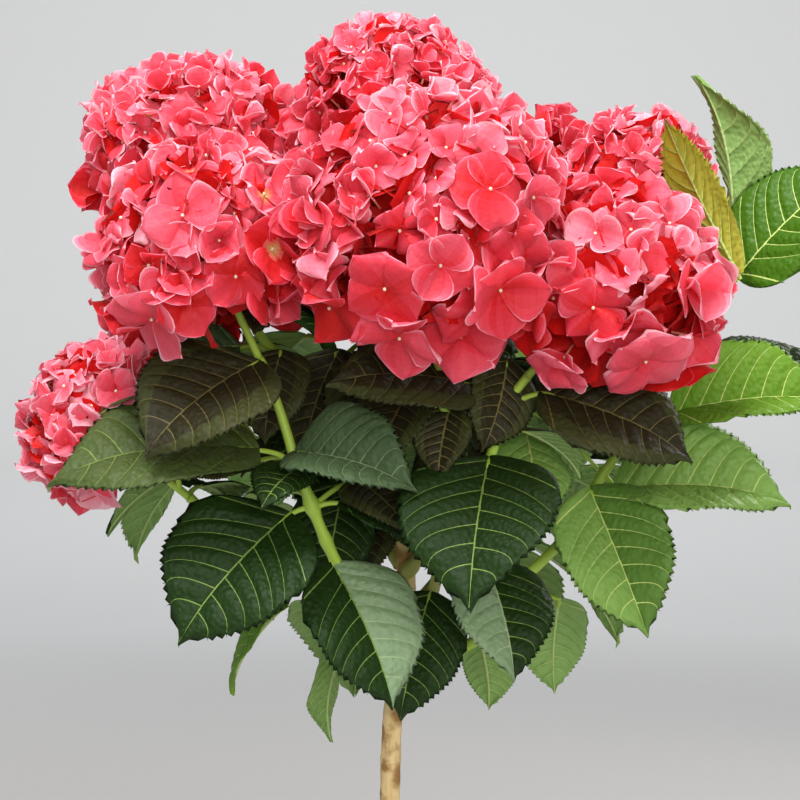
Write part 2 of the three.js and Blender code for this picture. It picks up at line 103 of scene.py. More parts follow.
class Heap:
    """Patches of points and faces that are joined into one mesh, with a finish for each face."""

    def __init__(self):
        self.points, self.corners, self.sizes, self.finishes, self.count = [], [], [], [], 0

    def add(self, points, faces, finish):
        """Adds points (n, 3) in metres and faces (m, corners), with one finish or one for each face."""
        points, faces = np.asarray(points, float), np.asarray(faces, int)
        self.points.append(points.reshape(-1, 3))
        self.corners.append((faces + self.count).ravel())
        self.sizes.append(np.full(len(faces), faces.shape[1]))
        self.finishes.append(np.broadcast_to(finish, len(faces)))
        self.count += len(points)

    def piece(self, name, materials):
        """The joined mesh as an object."""
        sizes = np.concatenate(self.sizes)
        mesh = bpy.data.meshes.new(name)
        mesh.vertices.add(self.count)
        mesh.vertices.foreach_set("co", np.concatenate(self.points).ravel())
        mesh.loops.add(int(sizes.sum()))
        mesh.loops.foreach_set("vertex_index", np.concatenate(self.corners))
        mesh.polygons.add(len(sizes))
        mesh.polygons.foreach_set("loop_start", np.concatenate([[0], np.cumsum(sizes)[:-1]]))
        mesh.polygons.foreach_set("material_index", np.concatenate(self.finishes))
        mesh.polygons.foreach_set("use_smooth", np.ones(len(sizes), bool))
        mesh.update(calc_edges=True)
        mesh.validate()
        for material in materials:
            mesh.materials.append(material)
        made = bpy.data.objects.new(name, mesh)
        bpy.context.scene.collection.objects.link(made)
        return made


def grid_faces(rows, columns, closed=False):
    """The quads of a grid of points, rows one after another, whose columns may close to a ring."""
    row, column = np.meshgrid(np.arange(rows - 1), np.arange(columns - (not closed)), indexing="ij")
    beside = (column + 1) % columns
    corners = [row * columns + column, row * columns + beside]
    corners += [(row + 1) * columns + beside, (row + 1) * columns + column]
    return np.stack(corners, -1).reshape(-1, 4)


def turned(section, sides):
    """Points and quads of a surface turned round the Z axis from radii and heights."""
    turn = np.linspace(0, 2 * math.pi, sides, endpoint=False)
    radius, height = np.array(section, float).T
    x, y = np.outer(radius, np.cos(turn)), np.outer(radius, np.sin(turn))
    z = np.broadcast_to(height[:, None], x.shape)
    return np.stack([x, y, z], -1).reshape(-1, 3), grid_faces(len(section), sides, closed=True)


def sweep_paper():
    """Matt studio paper: uncoated, with a faint tooth, and painted shade: darker near the plant than far
    off and up the wall.
    """
    material, tree, place = start_material("studio_paper")
    away = add_node(tree, "VectorMath", {0: place}, operation="LENGTH")
    # Painted shade: the paper fades from the darker near grey, within 1.4 m of the plant's foot, to the
    # paler far grey beyond 2.6 m.
    painted_shade_fade = add_node(tree, "MapRange", {"Value": away.outputs["Value"], "From Min": 1.4, "From Max": 2.6})
    shade = add_node(tree, "Mix", {0: painted_shade_fade, 6: PAPER_NEAR, 7: PAPER_FAR}, data_type="RGBA")
    across = 2 * (SWEEP_FLOOR + SWEEP_CURVE)  # the pattern is fitted to the sweep's width
    tooth = add_node(tree, "TexNoise", {"Scale": across / (PAPER_TOOTH * MM), "Detail": 3.0})
    bump = add_node(tree, "Bump", {"Height": tooth, "Strength": 0.02})
    skin = {"Base Color": shade.outputs[2], "Roughness": 0.95, "Specular IOR Level": 0.1, "Normal": bump}
    return coat(material, tree, skin)


def soft_light(name, place, aim, size, power, colour):
    """A square softbox that doesn't show itself."""
    light = bpy.data.lights.new(name, "AREA")
    light.size = size
    light.energy = power
    light.spread = math.radians(120)
    light.color = linear(colour)[:3]
    made = bpy.data.objects.new(name, light)
    made.location = place
    made.rotation_euler = (Vector(aim) - Vector(place)).to_track_quat("-Z", "Y").to_euler()
    made.visible_camera = False
    bpy.context.scene.collection.objects.link(made)


cove = [
    (SWEEP_FLOOR + SWEEP_CURVE * math.sin(a), SWEEP_CURVE * (1 - math.cos(a)))
    for a in np.linspace(0, math.pi / 2, 13)
]
sweep = Heap()
sweep.add(*turned([(0.01, 0), (1, 0), *cove, (SWEEP_FLOOR + SWEEP_CURVE, SWEEP_WALL)], 96), 0)
backdrop = sweep.piece("paper_sweep", [sweep_paper()])

soft_light("overhead_softbox", (-0.35, -0.8, 2.2), CROWN_MIDDLE, 0.8, 20.5, "#ffffff")
soft_light("rear_softbox", (1.3, 1.3, 1.7), CROWN_MIDDLE, 0.8, 14, "#fffdf4")
soft_light("front_fill", (0.5, -2.8, 1.2), CROWN_MIDDLE, 1.2, 20, "#fffaf2")
soft_light("wall_wash", (0, 2.6, 3.4), (0, 6.5, 0.9), 2.5, 28, "#ffffff")

world = bpy.data.worlds.new("studio_air")
world.use_nodes = True
world.node_tree.nodes["Background"].inputs["Color"].default_value = linear("#f4f6f8")
world.node_tree.nodes["Background"].inputs["Strength"].default_value = 0.58
bpy.context.scene.world = world
bpy.context.scene.view_settings.view_transform = "Standard"

camera_data = bpy.data.cameras.new("camera")
camera_data.lens = LENS
camera_data.sensor_width = SENSOR
camera = bpy.data.objects.new("camera", camera_data)
back = Vector((0, -math.cos(CAMERA_TILT), math.sin(CAMERA_TILT)))
camera.location = CROWN_MIDDLE + back * CAMERA_DISTANCE
camera.rotation_euler = (-back).to_track_quat("-Z", "Y").to_euler()
bpy.context.scene.collection.objects.link(camera)
bpy.context.scene.camera = camera


# ---- The pot ----
# A plain thrown clay pot with a collar, fired without a glaze. The clay is porous and matt, paler
# where salts have dried out on it, with fine rings left by the wheel and a rounded lip.

POT_HEIGHT, POT_FOOT, POT_BODY, POT_TOP = 190, 76, 98, 110
COLLAR_HEIGHT, POT_WALL, POT_FLOOR = 40, 8, 12
SOIL_LEVEL = 172
RING_SPACING = 3.0  # of the wheel marks
CLAY_CLOUD = 71.4  # the size of a paler or darker patch
CLAY_GRIT = 1.43  # drawn coarser than the real grit, which is too fine to show


def terracotta():
    """Terracotta: iron-red fired earthenware, dry to the eye, in slightly uneven shades."""
    material, tree, place = start_material("terracotta")
    cloud = add_node(tree, "TexNoise", {"Vector": place, "Scale": 1 / (CLAY_CLOUD * MM), "Detail": 6.0})
    grit = add_node(tree, "TexNoise", {"Vector": place, "Scale": 1 / (CLAY_GRIT * MM), "Detail": 4.0})
    bloom = add_node(tree, "MapRange", {"Value": cloud, "From Min": 0.5, "From Max": 0.75})
    clay = add_node(tree, "Mix", {0: cloud, 6: "#a4532f", 7: "#c4774e"}, data_type="RGBA")
    salted = add_node(tree, "Mix", {0: bloom, 6: clay.outputs[2], 7: "#cf9c80"}, data_type="RGBA")
    bump = add_node(tree, "Bump", {"Height": grit, "Strength": 0.25, "Distance": 0.4 * MM})
    skin = {"Base Color": salted.outputs[2], "Roughness": 0.88, "IOR": 1.5, "Normal": bump}
    return coat(material, tree, skin)


def rounded(corners, radius, steps=4):
    """An outline whose inner corners are rounded by short curves."""
    made = [corners[0]]
    for before, corner, after in zip(corners, corners[1:], corners[2:]):
        corner = np.array(corner, float)
        to_before, to_after = np.array(before) - corner, np.array(after) - corner
        reach = min(radius, np.hypot(*to_before) / 2.2, np.hypot(*to_after) / 2.2)
        start = corner + to_before / np.hypot(*to_before) * reach
        end = corner + to_after / np.hypot(*to_after) * reach
        for t in np.linspace(0, 1, steps):
            made.append(tuple((1 - t) ** 2 * start + 2 * t * (1 - t) * corner + t**2 * end))
    return [*made, corners[-1]]


def finer(section, spacing):
    """The same outline with points no further apart than the spacing."""
    made = [section[0]]
    for start, end in zip(section, section[1:]):
        count = max(1, math.ceil(math.dist(start, end) / spacing))
        for i in range(1, count + 1):
            made.append(tuple(np.array(start) + (np.array(end) - np.array(start)) * i / count))
    return made


collar_foot = POT_HEIGHT - COLLAR_HEIGHT
floor_radius = POT_FOOT - POT_WALL
pot_corners = [
    (0.5, 0),
    (POT_FOOT, 0),
    (POT_BODY, collar_foot),
    (POT_TOP - 4, collar_foot + 3),
    (POT_TOP, POT_HEIGHT),
    (POT_TOP - POT_WALL, POT_HEIGHT),
    (POT_TOP - POT_WALL - 2, SOIL_LEVEL - 4),
    (POT_BODY - POT_WALL, collar_foot - 6),
    (floor_radius, POT_FLOOR),
    (0.5, POT_FLOOR),
]
pot_points, pot_faces = turned(finer(rounded(pot_corners, 4), 3.5), 96)
rings = 0.25 * np.sin(pot_points[:, 2] * 2 * math.pi / RING_SPACING / 2)
pot_points[:, :2] *= 1 + rings[:, None] / POT_TOP * (pot_points[:, 2:] > 4)
pot_heap = Heap()
pot_heap.add(pot_points * MM, pot_faces, 0)
pot = pot_heap.piece("clay_pot", [terracotta()])
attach(pot, "root")
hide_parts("pot")


# ---- The compost ----
# Moist peat and bark compost, filled to a finger under the rim and crumbled by hand. It is dark and
# matt, with lumps and loose crumbs on top.

CRUMBS = 420
CRUMB_SIZE = (1.0, 3.2)
CRUMB_SEED = 11
CRUMB_CLUMP = 4.55  # how wide its dark and brown patches are
LUMPS = ((2.4, 9), (1.3, 3.5))  # how high and how wide


def compost_finish():
    """Moist compost: near black in its hollows, brown on its crumbs, with a dull damp glint."""
    material, tree, place = start_material("compost")
    lumps = add_node(tree, "TexNoise", {"Vector": place, "Scale": 1 / (CRUMB_CLUMP * MM), "Detail": 6.0})
    colour = add_node(tree, "Mix", {0: lumps, 6: "#17100b", 7: "#5a4232"}, data_type="RGBA")
    bump = add_node(tree, "Bump", {"Height": lumps, "Strength": 0.8, "Distance": 1.5 * MM})
    return coat(material, tree, {"Base Color": colour.outputs[2], "Roughness": 0.8, "Normal": bump})


def compost_mound():
    """The compost's top, lumpy, and its sides down to the pot's floor."""
    top = [(r, SOIL_LEVEL - 4 * (r / 100) ** 2) for r in np.linspace(1, POT_TOP - POT_WALL - 4, 34)]
    sides = [(POT_BODY - POT_WALL - 2, collar_foot - 6), (floor_radius - 2, POT_FLOOR + 1)]
    points, faces = turned([*top, *sides, (1, POT_FLOOR + 1)], 90)
    high = points[:, 2] > SOIL_LEVEL - 8
    lumps = [sum(h * noise.noise(Vector(p) / width) for h, width in LUMPS) for p in points]
    points[:, 2] += np.array(lumps) * high
    return points, faces


def ball(sides, rings):
    """Points and quads of a unit ball, drawn nearly shut at its poles."""
    fall = np.linspace(0.06, math.pi - 0.06, rings)
    return turned(np.stack([np.sin(fall), np.cos(fall)], -1), sides)


draw = np.random.default_rng(CRUMB_SEED)
soil_heap = Heap()
mound_points, mound_faces = compost_mound()
soil_heap.add(mound_points * MM, mound_faces[:, ::-1], 0)
crumb_points, crumb_faces = ball(7, 5)
for _ in range(CRUMBS):
    turn, out = draw.uniform(0, 2 * math.pi), (POT_TOP - POT_WALL - 8) * math.sqrt(draw.uniform())
    size = draw.uniform(*CRUMB_SIZE)
    seat = np.array([out * math.cos(turn), out * math.sin(turn), SOIL_LEVEL - 4 * (out / 100) ** 2])
    lumpy = crumb_points * size * draw.uniform(0.7, 1.2, crumb_points.shape) * (1, 1, 0.6)
    soil_heap.add((lumpy + seat) * MM, crumb_faces, 0)
soil = soil_heap.piece("potting_compost", [compost_finish()])
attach(soil, "root")
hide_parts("soil")


# ---- The woody stem ----
# The one bare stem of the standard, several years old: tan bark that splits lengthwise and flakes,
# brown in its cracks, over a root flare at the compost.

TRUNK_TOP = 556
TRUNK_RADIUS, TRUNK_TAPER = 6.4, 1.4
FLARE_RADIUS, FLARE_HEIGHT = 6, 14
GAP = 0.3
SPLIT_LENGTH, FLAKE_LENGTH, SCAR_SPACING = 34, 7, 62
BARK_GRAIN, BARK_PATCH = 2.38, 14.3
GRAIN_STRETCH = 0.16


class Way:
    """A smooth curve through points, walked by its share of length from 0 to 1."""

    STEPS = 200

    def __init__(self, points):
        points = np.array(points, float)
        self.ends = np.vstack([2 * points[0] - points[1], points, 2 * points[-1] - points[-2]])
        places = self.spot(np.linspace(0, 1, self.STEPS + 1))
        self.walked = np.concatenate([[0], np.cumsum(np.linalg.norm(np.diff(places, axis=0), axis=1))])
        self.length = self.walked[-1]

    def spot(self, t):
        """The uniform Catmull-Rom point at the curve's own value t."""
        spans = len(self.ends) - 3
        span = np.clip(np.floor(t * spans).astype(int), 0, spans - 1)
        w = (t * spans - span)[:, None]
        p0, p1, p2, p3 = (self.ends[span + i] for i in range(4))
        m1, m2 = (p2 - p0) / 2, (p3 - p1) / 2
        return p1 + m1 * w + (3 * (p2 - p1) - 2 * m1 - m2) * w**2 + (2 * (p1 - p2) + m1 + m2) * w**3

    def value(self, shares):
        marks = np.linspace(0, 1, self.STEPS + 1)
        return np.interp(np.asarray(shares, float) * self.length, self.walked, marks)

    def at(self, shares):
        return self.spot(np.atleast_1d(self.value(shares)))

    def course(self, shares):
        """Unit vectors along the curve."""
        t = np.atleast_1d(self.value(shares))
        step = self.spot(np.minimum(t + 1e-4, 1)) - self.spot(np.maximum(t - 1e-4, 0))
        return step / np.linalg.norm(step, axis=1, keepdims=True)


def limb(way, start, end, radius_at, sides, steps, relief=None):
    """Points and quads of a tube along a way, from one share to another, with closed ends."""
    shares = np.linspace(start, end, steps + 1)
    along = way.course(shares)
    chord = way.at(1)[0] - way.at(0)[0]
    level = np.array([chord[1], -chord[0], 0.0])
    if np.linalg.norm(level) < 1:
        level = np.array([1.0, 0, 0])
    side = level - (along @ level)[:, None] * along
    side /= np.linalg.norm(side, axis=1, keepdims=True)
    out = np.cross(side, along)
    turn = np.linspace(0, 2 * math.pi, sides, endpoint=False)
    radius = np.broadcast_to(radius_at(shares)[:, None], (len(shares), sides)).copy()
    if relief is not None:
        radius += relief(shares[:, None] * way.length, turn[None, :])
    round_way = np.cos(turn)[:, None] * side[:, None, :] + np.sin(turn)[:, None] * out[:, None, :]
    points = way.at(shares)[:, None, :] + radius[..., None] * round_way
    caps = [points[:1].mean(1, keepdims=True), points[-1:].mean(1, keepdims=True)]
    shrunk = [cap + (ring - cap) * 0.05 for cap, ring in zip(caps, (points[:1], points[-1:]))]
    points = np.concatenate([shrunk[0], points, shrunk[1]])
    return points.reshape(-1, 3), grid_faces(len(shares) + 2, sides, closed=True)[:, ::-1]


def trunk_radius(shares):
    flare = FLARE_RADIUS * np.exp(-shares * trunk_way.length / FLARE_HEIGHT)
    return TRUNK_RADIUS + TRUNK_TAPER * (0.5 - shares) + flare


def bark_relief(height, turn):
    """Long splits between plates of bark, and ring scars every few centimetres."""
    made = np.zeros(np.broadcast_shapes(height.shape, turn.shape))
    for i in np.ndindex(made.shape):
        x, y = math.cos(turn[0, i[1]]), math.sin(turn[0, i[1]])
        z = height[i[0], 0]
        split = abs(noise.noise(Vector((x * 2.2, y * 2.2, z / SPLIT_LENGTH))))
        flake = noise.noise(Vector((x * 3.5, y * 3.5, z / FLAKE_LENGTH)) + Vector((9, 4, 2)))
        made[i] = 0.35 * flake - 0.7 * max(0.0, 0.12 - split) / 0.12
    scar = np.exp(-((height % SCAR_SPACING - SCAR_SPACING / 2) / 1.6) ** 2)
    return made + 0.5 * scar


def bark():
    """Bark: dry cork, light tan where it has flaked, brown and rough in the splits."""
    material, tree, place = start_material("woody_bark")
    stretched = add_node(tree, "Mapping", {"Vector": place, "Scale": (1.0, 1.0, GRAIN_STRETCH)})
    grain = add_node(tree, "TexNoise", {"Vector": stretched, "Scale": 1 / (BARK_GRAIN * MM), "Detail": 8.0})
    patches = add_node(tree, "TexNoise", {"Vector": place, "Scale": 1 / (BARK_PATCH * MM), "Detail": 5.0})
    light = add_node(tree, "Mix", {0: grain, 6: "#c39f60", 7: "#f0dbab"}, data_type="RGBA")
    worn = add_node(tree, "MapRange", {"Value": patches, "From Min": 0.48, "From Max": 0.62})
    colour = add_node(tree, "Mix", {0: worn, 6: light.outputs[2], 7: "#9c7444"}, data_type="RGBA")
    bump = add_node(tree, "Bump", {"Height": grain, "Strength": 0.6, "Distance": 0.6 * MM})
    return coat(material, tree, {"Base Color": colour.outputs[2], "Roughness": 0.82, "Normal": bump})


trunk_way = Way(
    [(-3, 0, SOIL_LEVEL + GAP), (-3, 0, 240), (-6, 0, 330), (-5, 0, 410), (4, 0, 500), (-4, 0, TRUNK_TOP)]
)
trunk_heap = Heap()
trunk_points, trunk_faces = limb(trunk_way, 0, 1, trunk_radius, 36, 240, bark_relief)
trunk_heap.add(trunk_points * MM, trunk_faces, 0)
trunk = trunk_heap.piece("woody_stem", [bark()])
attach(trunk, "root")
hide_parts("trunk")


# ---- The boughs and green shoots ----
# Each flowering shoot leaves the stem as a bough, stiff and lightly ribbed, and goes on green and
# smooth, swollen where a pair of leaves grows.

BOUGH_RADIUS, STALK_RADIUS, STALK_LENGTH = 4, 2, 75
SHOOT_RADIUS = 2.8
SHOOT_GREENS = ("#abc94a", "#86a638")
SHOOT_SHADE = 28.6  # how long a greener or an olive stretch is
SHOOT_PORES = 1.11  # drawn coarser than real pores, which are too fine to show
BOUGH_END = 0.26

# Each shoot's way from the stem, the centre, breadth, depth and axis of its head, its leaves, the leaves
# under the heads painted brown for the shade there, and the share and heading of its pairs of filling
# leaves. A leaf's row is its tone, or those of its two halves, the share of the shoot where it grows, its
# blade's foot, heading, pitch, length and roll, and its fold and width where they aren't the usual ones.
shoots = {
    "left": {
        "way": [(-4, -2, 470), (-36, -42, 516), (-60, -52, 575), (-78, -52, 630)],
        "head": ((-114, -70, 714), 64, 60, (-0.3, -0.5, 0.8)),
        "leaves": [
            ("umber", 0.72, (-84, -63, 646), -143, -31, 95, -25, 12, 0.94),
            ("moss", 0.5, (-85, -45, 591), -169, -6, 130, -24),
            ("deep", 0.4, (-66, -52, 553), -148, -42, 106, -35, 12, 0.9),
            ("teal", 0.5, (-63, -60, 591), -40, -8, 95, 38, 34),
            ("deep", 0.5, (-58, -64, 583), -118, -20, 52, -10),
            ("deep/frost", 0.32, (-42, -46, 522), -40, -58, 98, 22),
            ("umber", 0.4, (-28, -38, 572), -50, -25, 58, 20),
            ("umber", 0.5, (-88, -24, 582), -172, -12, 45, -30),
        ],
    },
    "front": {
        "way": [(-2, -3, 442), (20, -24, 498), (30, -62, 575), (22, -85, 650)],
        "head": ((17, -106, 728), 81, 78, (0, -0.6, 0.8)),
        "leaves": [
            ("deep", 0.2, (19, -27, 501), -126, -66, 82, -25),
            ("umber", 0.6, (46, -78, 632), -164, 4, 92, -36),
            ("umber", 0.5, (10, -42, 632), -120, -45, 70, 0),
        ],
        "shade": [("umber", 0.45, (30, -75, 620), -110, -60, 48, 0)],
    },
    "front_right": {
        "way": [(2, -2, 506), (30, -34, 545), (53, -70, 587), (66, -75, 625)],
        "head": ((124, -88, 694), 61, 58, (0.35, -0.6, 0.7)),
        "leaves": [
            ("deep", 0.42, (53, -78, 590), -101, -45, 108, 0, 12, 0.88),
            ("frost/deep", 0.3, (52, -42, 522), -73, -47, 84, 0),
            ("umber", 0.6, (82, -80, 629), -10, -22, 100, 40),
            ("umber", 0.6, (64, -68, 648), -124, -64, 60, -60),
        ],
    },
    "right": {
        "way": [
            (-3, 0, 458), (55, -6, 490), (97, -8, 525), (124, -10, 568), (159, 0, 617), (206, 8, 690),
        ],
        "leaves": [
            ("mid", 0.55, (132, -15, 563), -11, -2, 110, 38, 30),
            ("backlit", 0.72, (167, -5, 609), -6, 6, 104, 46, 38),
            ("deep", 0.8, (188, 45, 618), 12, 12, 98, 20),
            ("olive", 0.99, (208, -26, 694), -144, 56, 118, 60, 35, 0.32),
            ("mid", 0.99, (212, 38, 703), 160, 81, 120, 40, 25, 0.6),
            ("fresh", 0.93, (210, 2, 693), -12, 44, 100, 50),
            ("mid/grass", 0.45, (116, -28, 566), -47, -60, 100, 42, 28),
        ],
    },
    "right_head": {
        "way": [(-1, 0, 543), (50, 18, 590), (110, 26, 645), (140, 24, 690)],
        "head": ((149, 20, 748), 49, 48, (0.4, 0.1, 0.9)),
        "leaves": [
            ("deep", 0.4, (126, 22, 572), 12, -60, 48, 0),
            ("mid", 0.3, (78, -8, 600), -78, -60, 66, 0),
            ("deep", 0.5, (92, 10, 640), -150, -40, 80, -20),
        ],
        "fill": [(0.6, 60)],
    },
    "left_low": {
        "way": [(3, 0, 500), (-50, 4, 512), (-105, 8, 535), (-141, 10, 561)],
        "head": ((-190, 18, 602), 52, 45, (-0.8, -0.35, 0.5)),
        "leaves": [
            ("backlit", 0.5, (-105, 14, 514), 173, -36, 52, 0),
            ("moss", 0.7, (-145, -18, 620), -165, -9, 42, 0),
            ("backlit", 0.3, (-71, 0, 489), -173, -55, 68, 0),
            ("deep", 0.45, (-95, 32, 548), 98, -38, 85, 0),
        ],
    },
    "back_left": {
        "way": [(-3, 0, 534), (-50, 30, 600), (-100, 48, 670), (-122, 54, 712)],
        "head": ((-133, 60, 772), 72, 60, (-0.1, 0.1, 0.95)),
        "leaves": [
            ("umber", 0.35, (-74, 6, 648), -105, -55, 66, 0),
            ("teal", 0.5, (-100, 6, 650), -172, -8, 58, -30),
            ("mid", 0.6, (-104, 48, 688), -172, 5, 66, 0),
        ],
        "fill": [(0.45, 100), (0.65, 20)],
    },
    "top": {
        "way": [(-3, 0, 550), (-4, 22, 600), (-6, 40, 670), (-4, 46, 730)],
        "head": ((-3, 50, 795), 64, 62, (0, 0.2, 1)),
        "leaves": [
            ("umber", 0.35, (-14, 4, 646), -95, -58, 82, 0),
            ("umber", 0.4, (38, 4, 652), -75, -58, 72, 0),
            ("deep", 0.6, (-40, 50, 690), -170, 20, 80, 20),
            ("deep", 0.6, (34, 52, 690), 10, 25, 80, -20),
        ],
        "shade": [
            ("umber", 0.3, (-38, 16, 648), -125, -60, 78, 0),
            ("umber", 0.3, (-16, 12, 560), -110, -70, 60, 0),
        ],
        "fill": [(0.45, 30), (0.6, 120)],
    },
    "rear_right": {
        "way": [(-1, 0, 523), (30, 50, 590), (62, 105, 650), (76, 132, 685)],
        "head": ((88, 150, 730), 68, 60, (0.3, 0.7, 0.65)),
        "leaves": [
            ("umber", 0.3, (34, 14, 600), -70, -75, 90, 0),
            ("deep", 0.35, (42, 88, 598), 72, -45, 105, 0),
            ("mid", 0.55, (92, 88, 668), -20, 10, 80, 20),
        ],
        "fill": [(0.35, 60), (0.5, 150), (0.65, 60)],
    },
    "rear_left": {
        "way": [(0, 0, 512), (-25, 55, 580), (-48, 115, 650), (-58, 140, 680)],
        "head": ((-62, 162, 718), 64, 58, (-0.3, 0.7, 0.65)),
        "leaves": [
            ("deep", 0.3, (-34, 12, 566), -110, -65, 80, 0),
            ("mid", 0.35, (-36, 92, 592), 105, -45, 105, 0),
            ("deep", 0.6, (-10, 124, 655), 65, -30, 90, 0),
        ],
        "fill": [(0.35, 120), (0.5, 30), (0.65, 120)],
    },
    "rear_low_left": {
        "way": [(2, 0, 489), (-40, 45, 525), (-95, 92, 580), (-118, 112, 610)],
        "head": ((-144, 134, 646), 50, 46, (-0.6, 0.6, 0.5)),
        "leaves": [
            ("mid", 0.3, (-55, 76, 532), 118, -45, 105, 0),
            ("deep", 0.45, (-110, 78, 578), -170, -30, 100, 20),
            ("mid", 0.55, (-96, 118, 582), 88, -38, 95, 0),
        ],
        "fill": [(0.3, 150), (0.45, 60), (0.6, 150)],
    },
    "rear_low_right": {
        "way": [(1, 0, 477), (40, 50, 515), (88, 100, 570), (104, 118, 598)],
        "head": ((124, 144, 636), 52, 48, (0.55, 0.65, 0.5)),
        "leaves": [
            ("deep", 0.3, (56, 78, 515), 65, -50, 105, 0),
            ("mid", 0.45, (102, 88, 562), 30, -30, 85, -20),
            ("deep", 0.55, (104, 122, 560), 78, -40, 95, 0),
        ],
        "fill": [(0.3, 40), (0.45, 130), (0.6, 40)],
    },
    "low_left": {
        "way": [(-5, 0, 428), (-25, 14, 444), (-40, 28, 470)],
        "leaves": [("backlit", 0.7, (-35, 22, 461), 160, -78, 68, 0)],
        "fill": [(0.95, 100)],
    },
    "low_right": {
        "way": [(-4, 0, 434), (40, 36, 452), (90, 44, 490)],
        "leaves": [
            ("backlit", 0.55, (52, 42, 458), 65, -70, 52, 0),
            ("backlit", 0.95, (103, 42, 485), 107, -80, 65, 0),
        ],
    },
}


def young_shoot(name, hex_colour, second_colour):
    """Young green wood: a waxy skin over ribs, shaded from fresh green to olive, finely pitted."""
    material, tree, place = start_material(name)
    shade = add_node(tree, "TexNoise", {"Vector": place, "Scale": 1 / (SHOOT_SHADE * MM), "Detail": 4.0})
    pits = add_node(tree, "TexNoise", {"Vector": place, "Scale": 1 / (SHOOT_PORES * MM), "Detail": 3.0})
    colour = add_node(tree, "Mix", {0: shade, 6: hex_colour, 7: second_colour}, data_type="RGBA")
    bump = add_node(tree, "Bump", {"Height": pits, "Strength": 0.2, "Distance": 0.3 * MM})
    skin = {"Base Color": colour.outputs[2], "Roughness": 0.45, "IOR": 1.45, "Normal": bump}
    return coat(material, tree, skin | {"Specular IOR Level": 0.5})


def shoot_radius(shares):
    return BOUGH_RADIUS + (STALK_RADIUS - BOUGH_RADIUS) * shares


def bough_relief(height, turn):
    """Shallow ribs, and a ring where the bough's first bud scales sat."""
    return 0.25 * np.cos(5 * turn) + 1.6 * np.exp(-(((height - 9) / 5) ** 2)) + 0 * height


for plan in shoots.values():
    plan["curve"], plan["stem_end"] = Way(plan["way"]), 1.0
    if "head" in plan:
        centre, across, deep, axis = plan["head"]
        middle, up = np.array(centre, float), np.array(axis, float) / np.linalg.norm(axis)
        plan["head"] = {"middle": middle, "across": across, "deep": deep, "up": up}
        plan["curve"] = Way([*plan["way"], centre])
        plan["stem_end"] = 1 - STALK_LENGTH / plan["curve"].length

bough_heap = Heap()
for plan in shoots.values():
    points, faces = limb(plan["curve"], 0, BOUGH_END, shoot_radius, 14, 30, bough_relief)
    bough_heap.add(points * MM, faces, 0)
boughs = bough_heap.piece("boughs", [young_shoot("ripening_shoot", "#a3b356", "#8d7d48")])
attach(boughs, "root")
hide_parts(*["bough_" + name for name in shoots])


# ---- The leaves ----
# Broad, toothed blades on short stalks, in opposite pairs. Each has a midrib and curved side veins
# in pale green, puckers up between them, and is paler underneath. Their tones paint light and shade:
# leaves in the shade of the heads are painted near brown, those in the light a paler green, some with a
# painted sheen on one half, and thin ones with light behind them a glowing yellow-green.

PETIOLE_RADIUS = 1.7
BLADE_WIDTH, BLADE_ARCH, BLADE_FOLD = 0.76, 0.07, 12
BLADE_THICKNESS = 0.5
QUILT = 0.023  # how far the blade swells up between side veins, of its length
PUCKER = 0.009  # how uneven the swellings are
SIDE_VEINS, FIRST_VEIN, LAST_VEIN = 7, 0.03, 0.82
VEIN_SWEEP = 0.4  # how far a side vein runs forwards
VEIN_WIDTH = (0.36, 0.14)  # half a side vein's width at the midrib and at the margin
MIDRIB_WIDTH = (2.4, 1.8, 0.6)
VEIN_NET = 3.4  # between the finest veins
LEAF_SHEEN = 16.7  # how wide a glossier or a duller patch is
LEAF_CELLS = 1.54  # drawn coarser than real cells, which are too fine to show
TOOTH = (1.6, 2.1)  # how far a tooth of a long blade stands forwards and outwards
LEAF_CLEARANCE = 5
FLORET_ROOM = 12
FIRST_SEED, SEED_STEP = 4001, 37
SHADED_SEED, SHADED_TRIES, SHADED_LENGTH, SHADED_CLEARANCE = 7001, 60, (55, 90), 4
CROWN_CORE, CROWN_REACH = (0, 20, 610), (175, 130, 115)  # where shaded leaves grow, inside the crown
FLORET_SPACING_IN_PLAN = 41
DOME_WRAP = math.radians(120)
GOLDEN_ANGLE = math.radians(137.508)


def pointing(heading, pitch):
    """A unit vector from a heading round +Z and a pitch above the horizon, in degrees."""
    h, p = math.radians(heading), math.radians(pitch)
    return np.array([math.cos(p) * math.cos(h), math.cos(p) * math.sin(h), math.sin(p)])


def dealer(seed):
    """The plan's Park-Miller generator of numbers from 0 to 1."""
    modulus = 2147483647
    state = seed
    while True:
        state = state * 16807 % modulus
        yield state / modulus


def leaf_axes(leaf):
    """Unit vectors along the midrib, across the blade and up from its face."""
    along = pointing(leaf["heading"], leaf["pitch"])
    level = pointing(leaf["heading"] + 90, 0)
    roll = math.radians(leaf["roll"])
    side = level * math.cos(roll) + np.cross(along, level) * math.sin(roll)
    return along, side, np.cross(along, side)


def blade_half_width(share):
    """Half the width of a blade of width 1: broad near its foot."""
    return 0.5 * np.sin(math.pi * np.clip(share, 0, 1) ** 0.65) ** 0.85


def on_blade(leaf, share, across, lift=0.0, taper=1.0):
    """Points of a blade: share along it, -1 to 1 across it, and lifted by a part of its length."""
    along, side, up = leaf_axes(leaf)
    half = blade_half_width(share) * taper * leaf["width"] * across
    fold = math.radians(leaf["fold"])
    rise = BLADE_ARCH * 4 * share * (1 - share) + math.sin(fold) * np.abs(half) + lift
    parts = [along * (leaf["length"] * np.asarray(share))[..., None]]
    parts.append(side * (leaf["length"] * half * math.cos(fold))[..., None])
    parts.append(up * (leaf["length"] * rise)[..., None])
    return leaf["foot"] + sum(parts)


def leaf_points(leaf):
    """Points all over a blade and along its stalk, for the test of clear room."""
    i, j = np.meshgrid(np.arange(13) / 12, np.arange(-4, 5) / 4, indexing="ij")
    stalk = [leaf["root"] + (leaf["foot"] - leaf["root"]) * k / 4 for k in (2, 3, 4)]
    return np.vstack([on_blade(leaf, i, j).reshape(-1, 3), stalk])


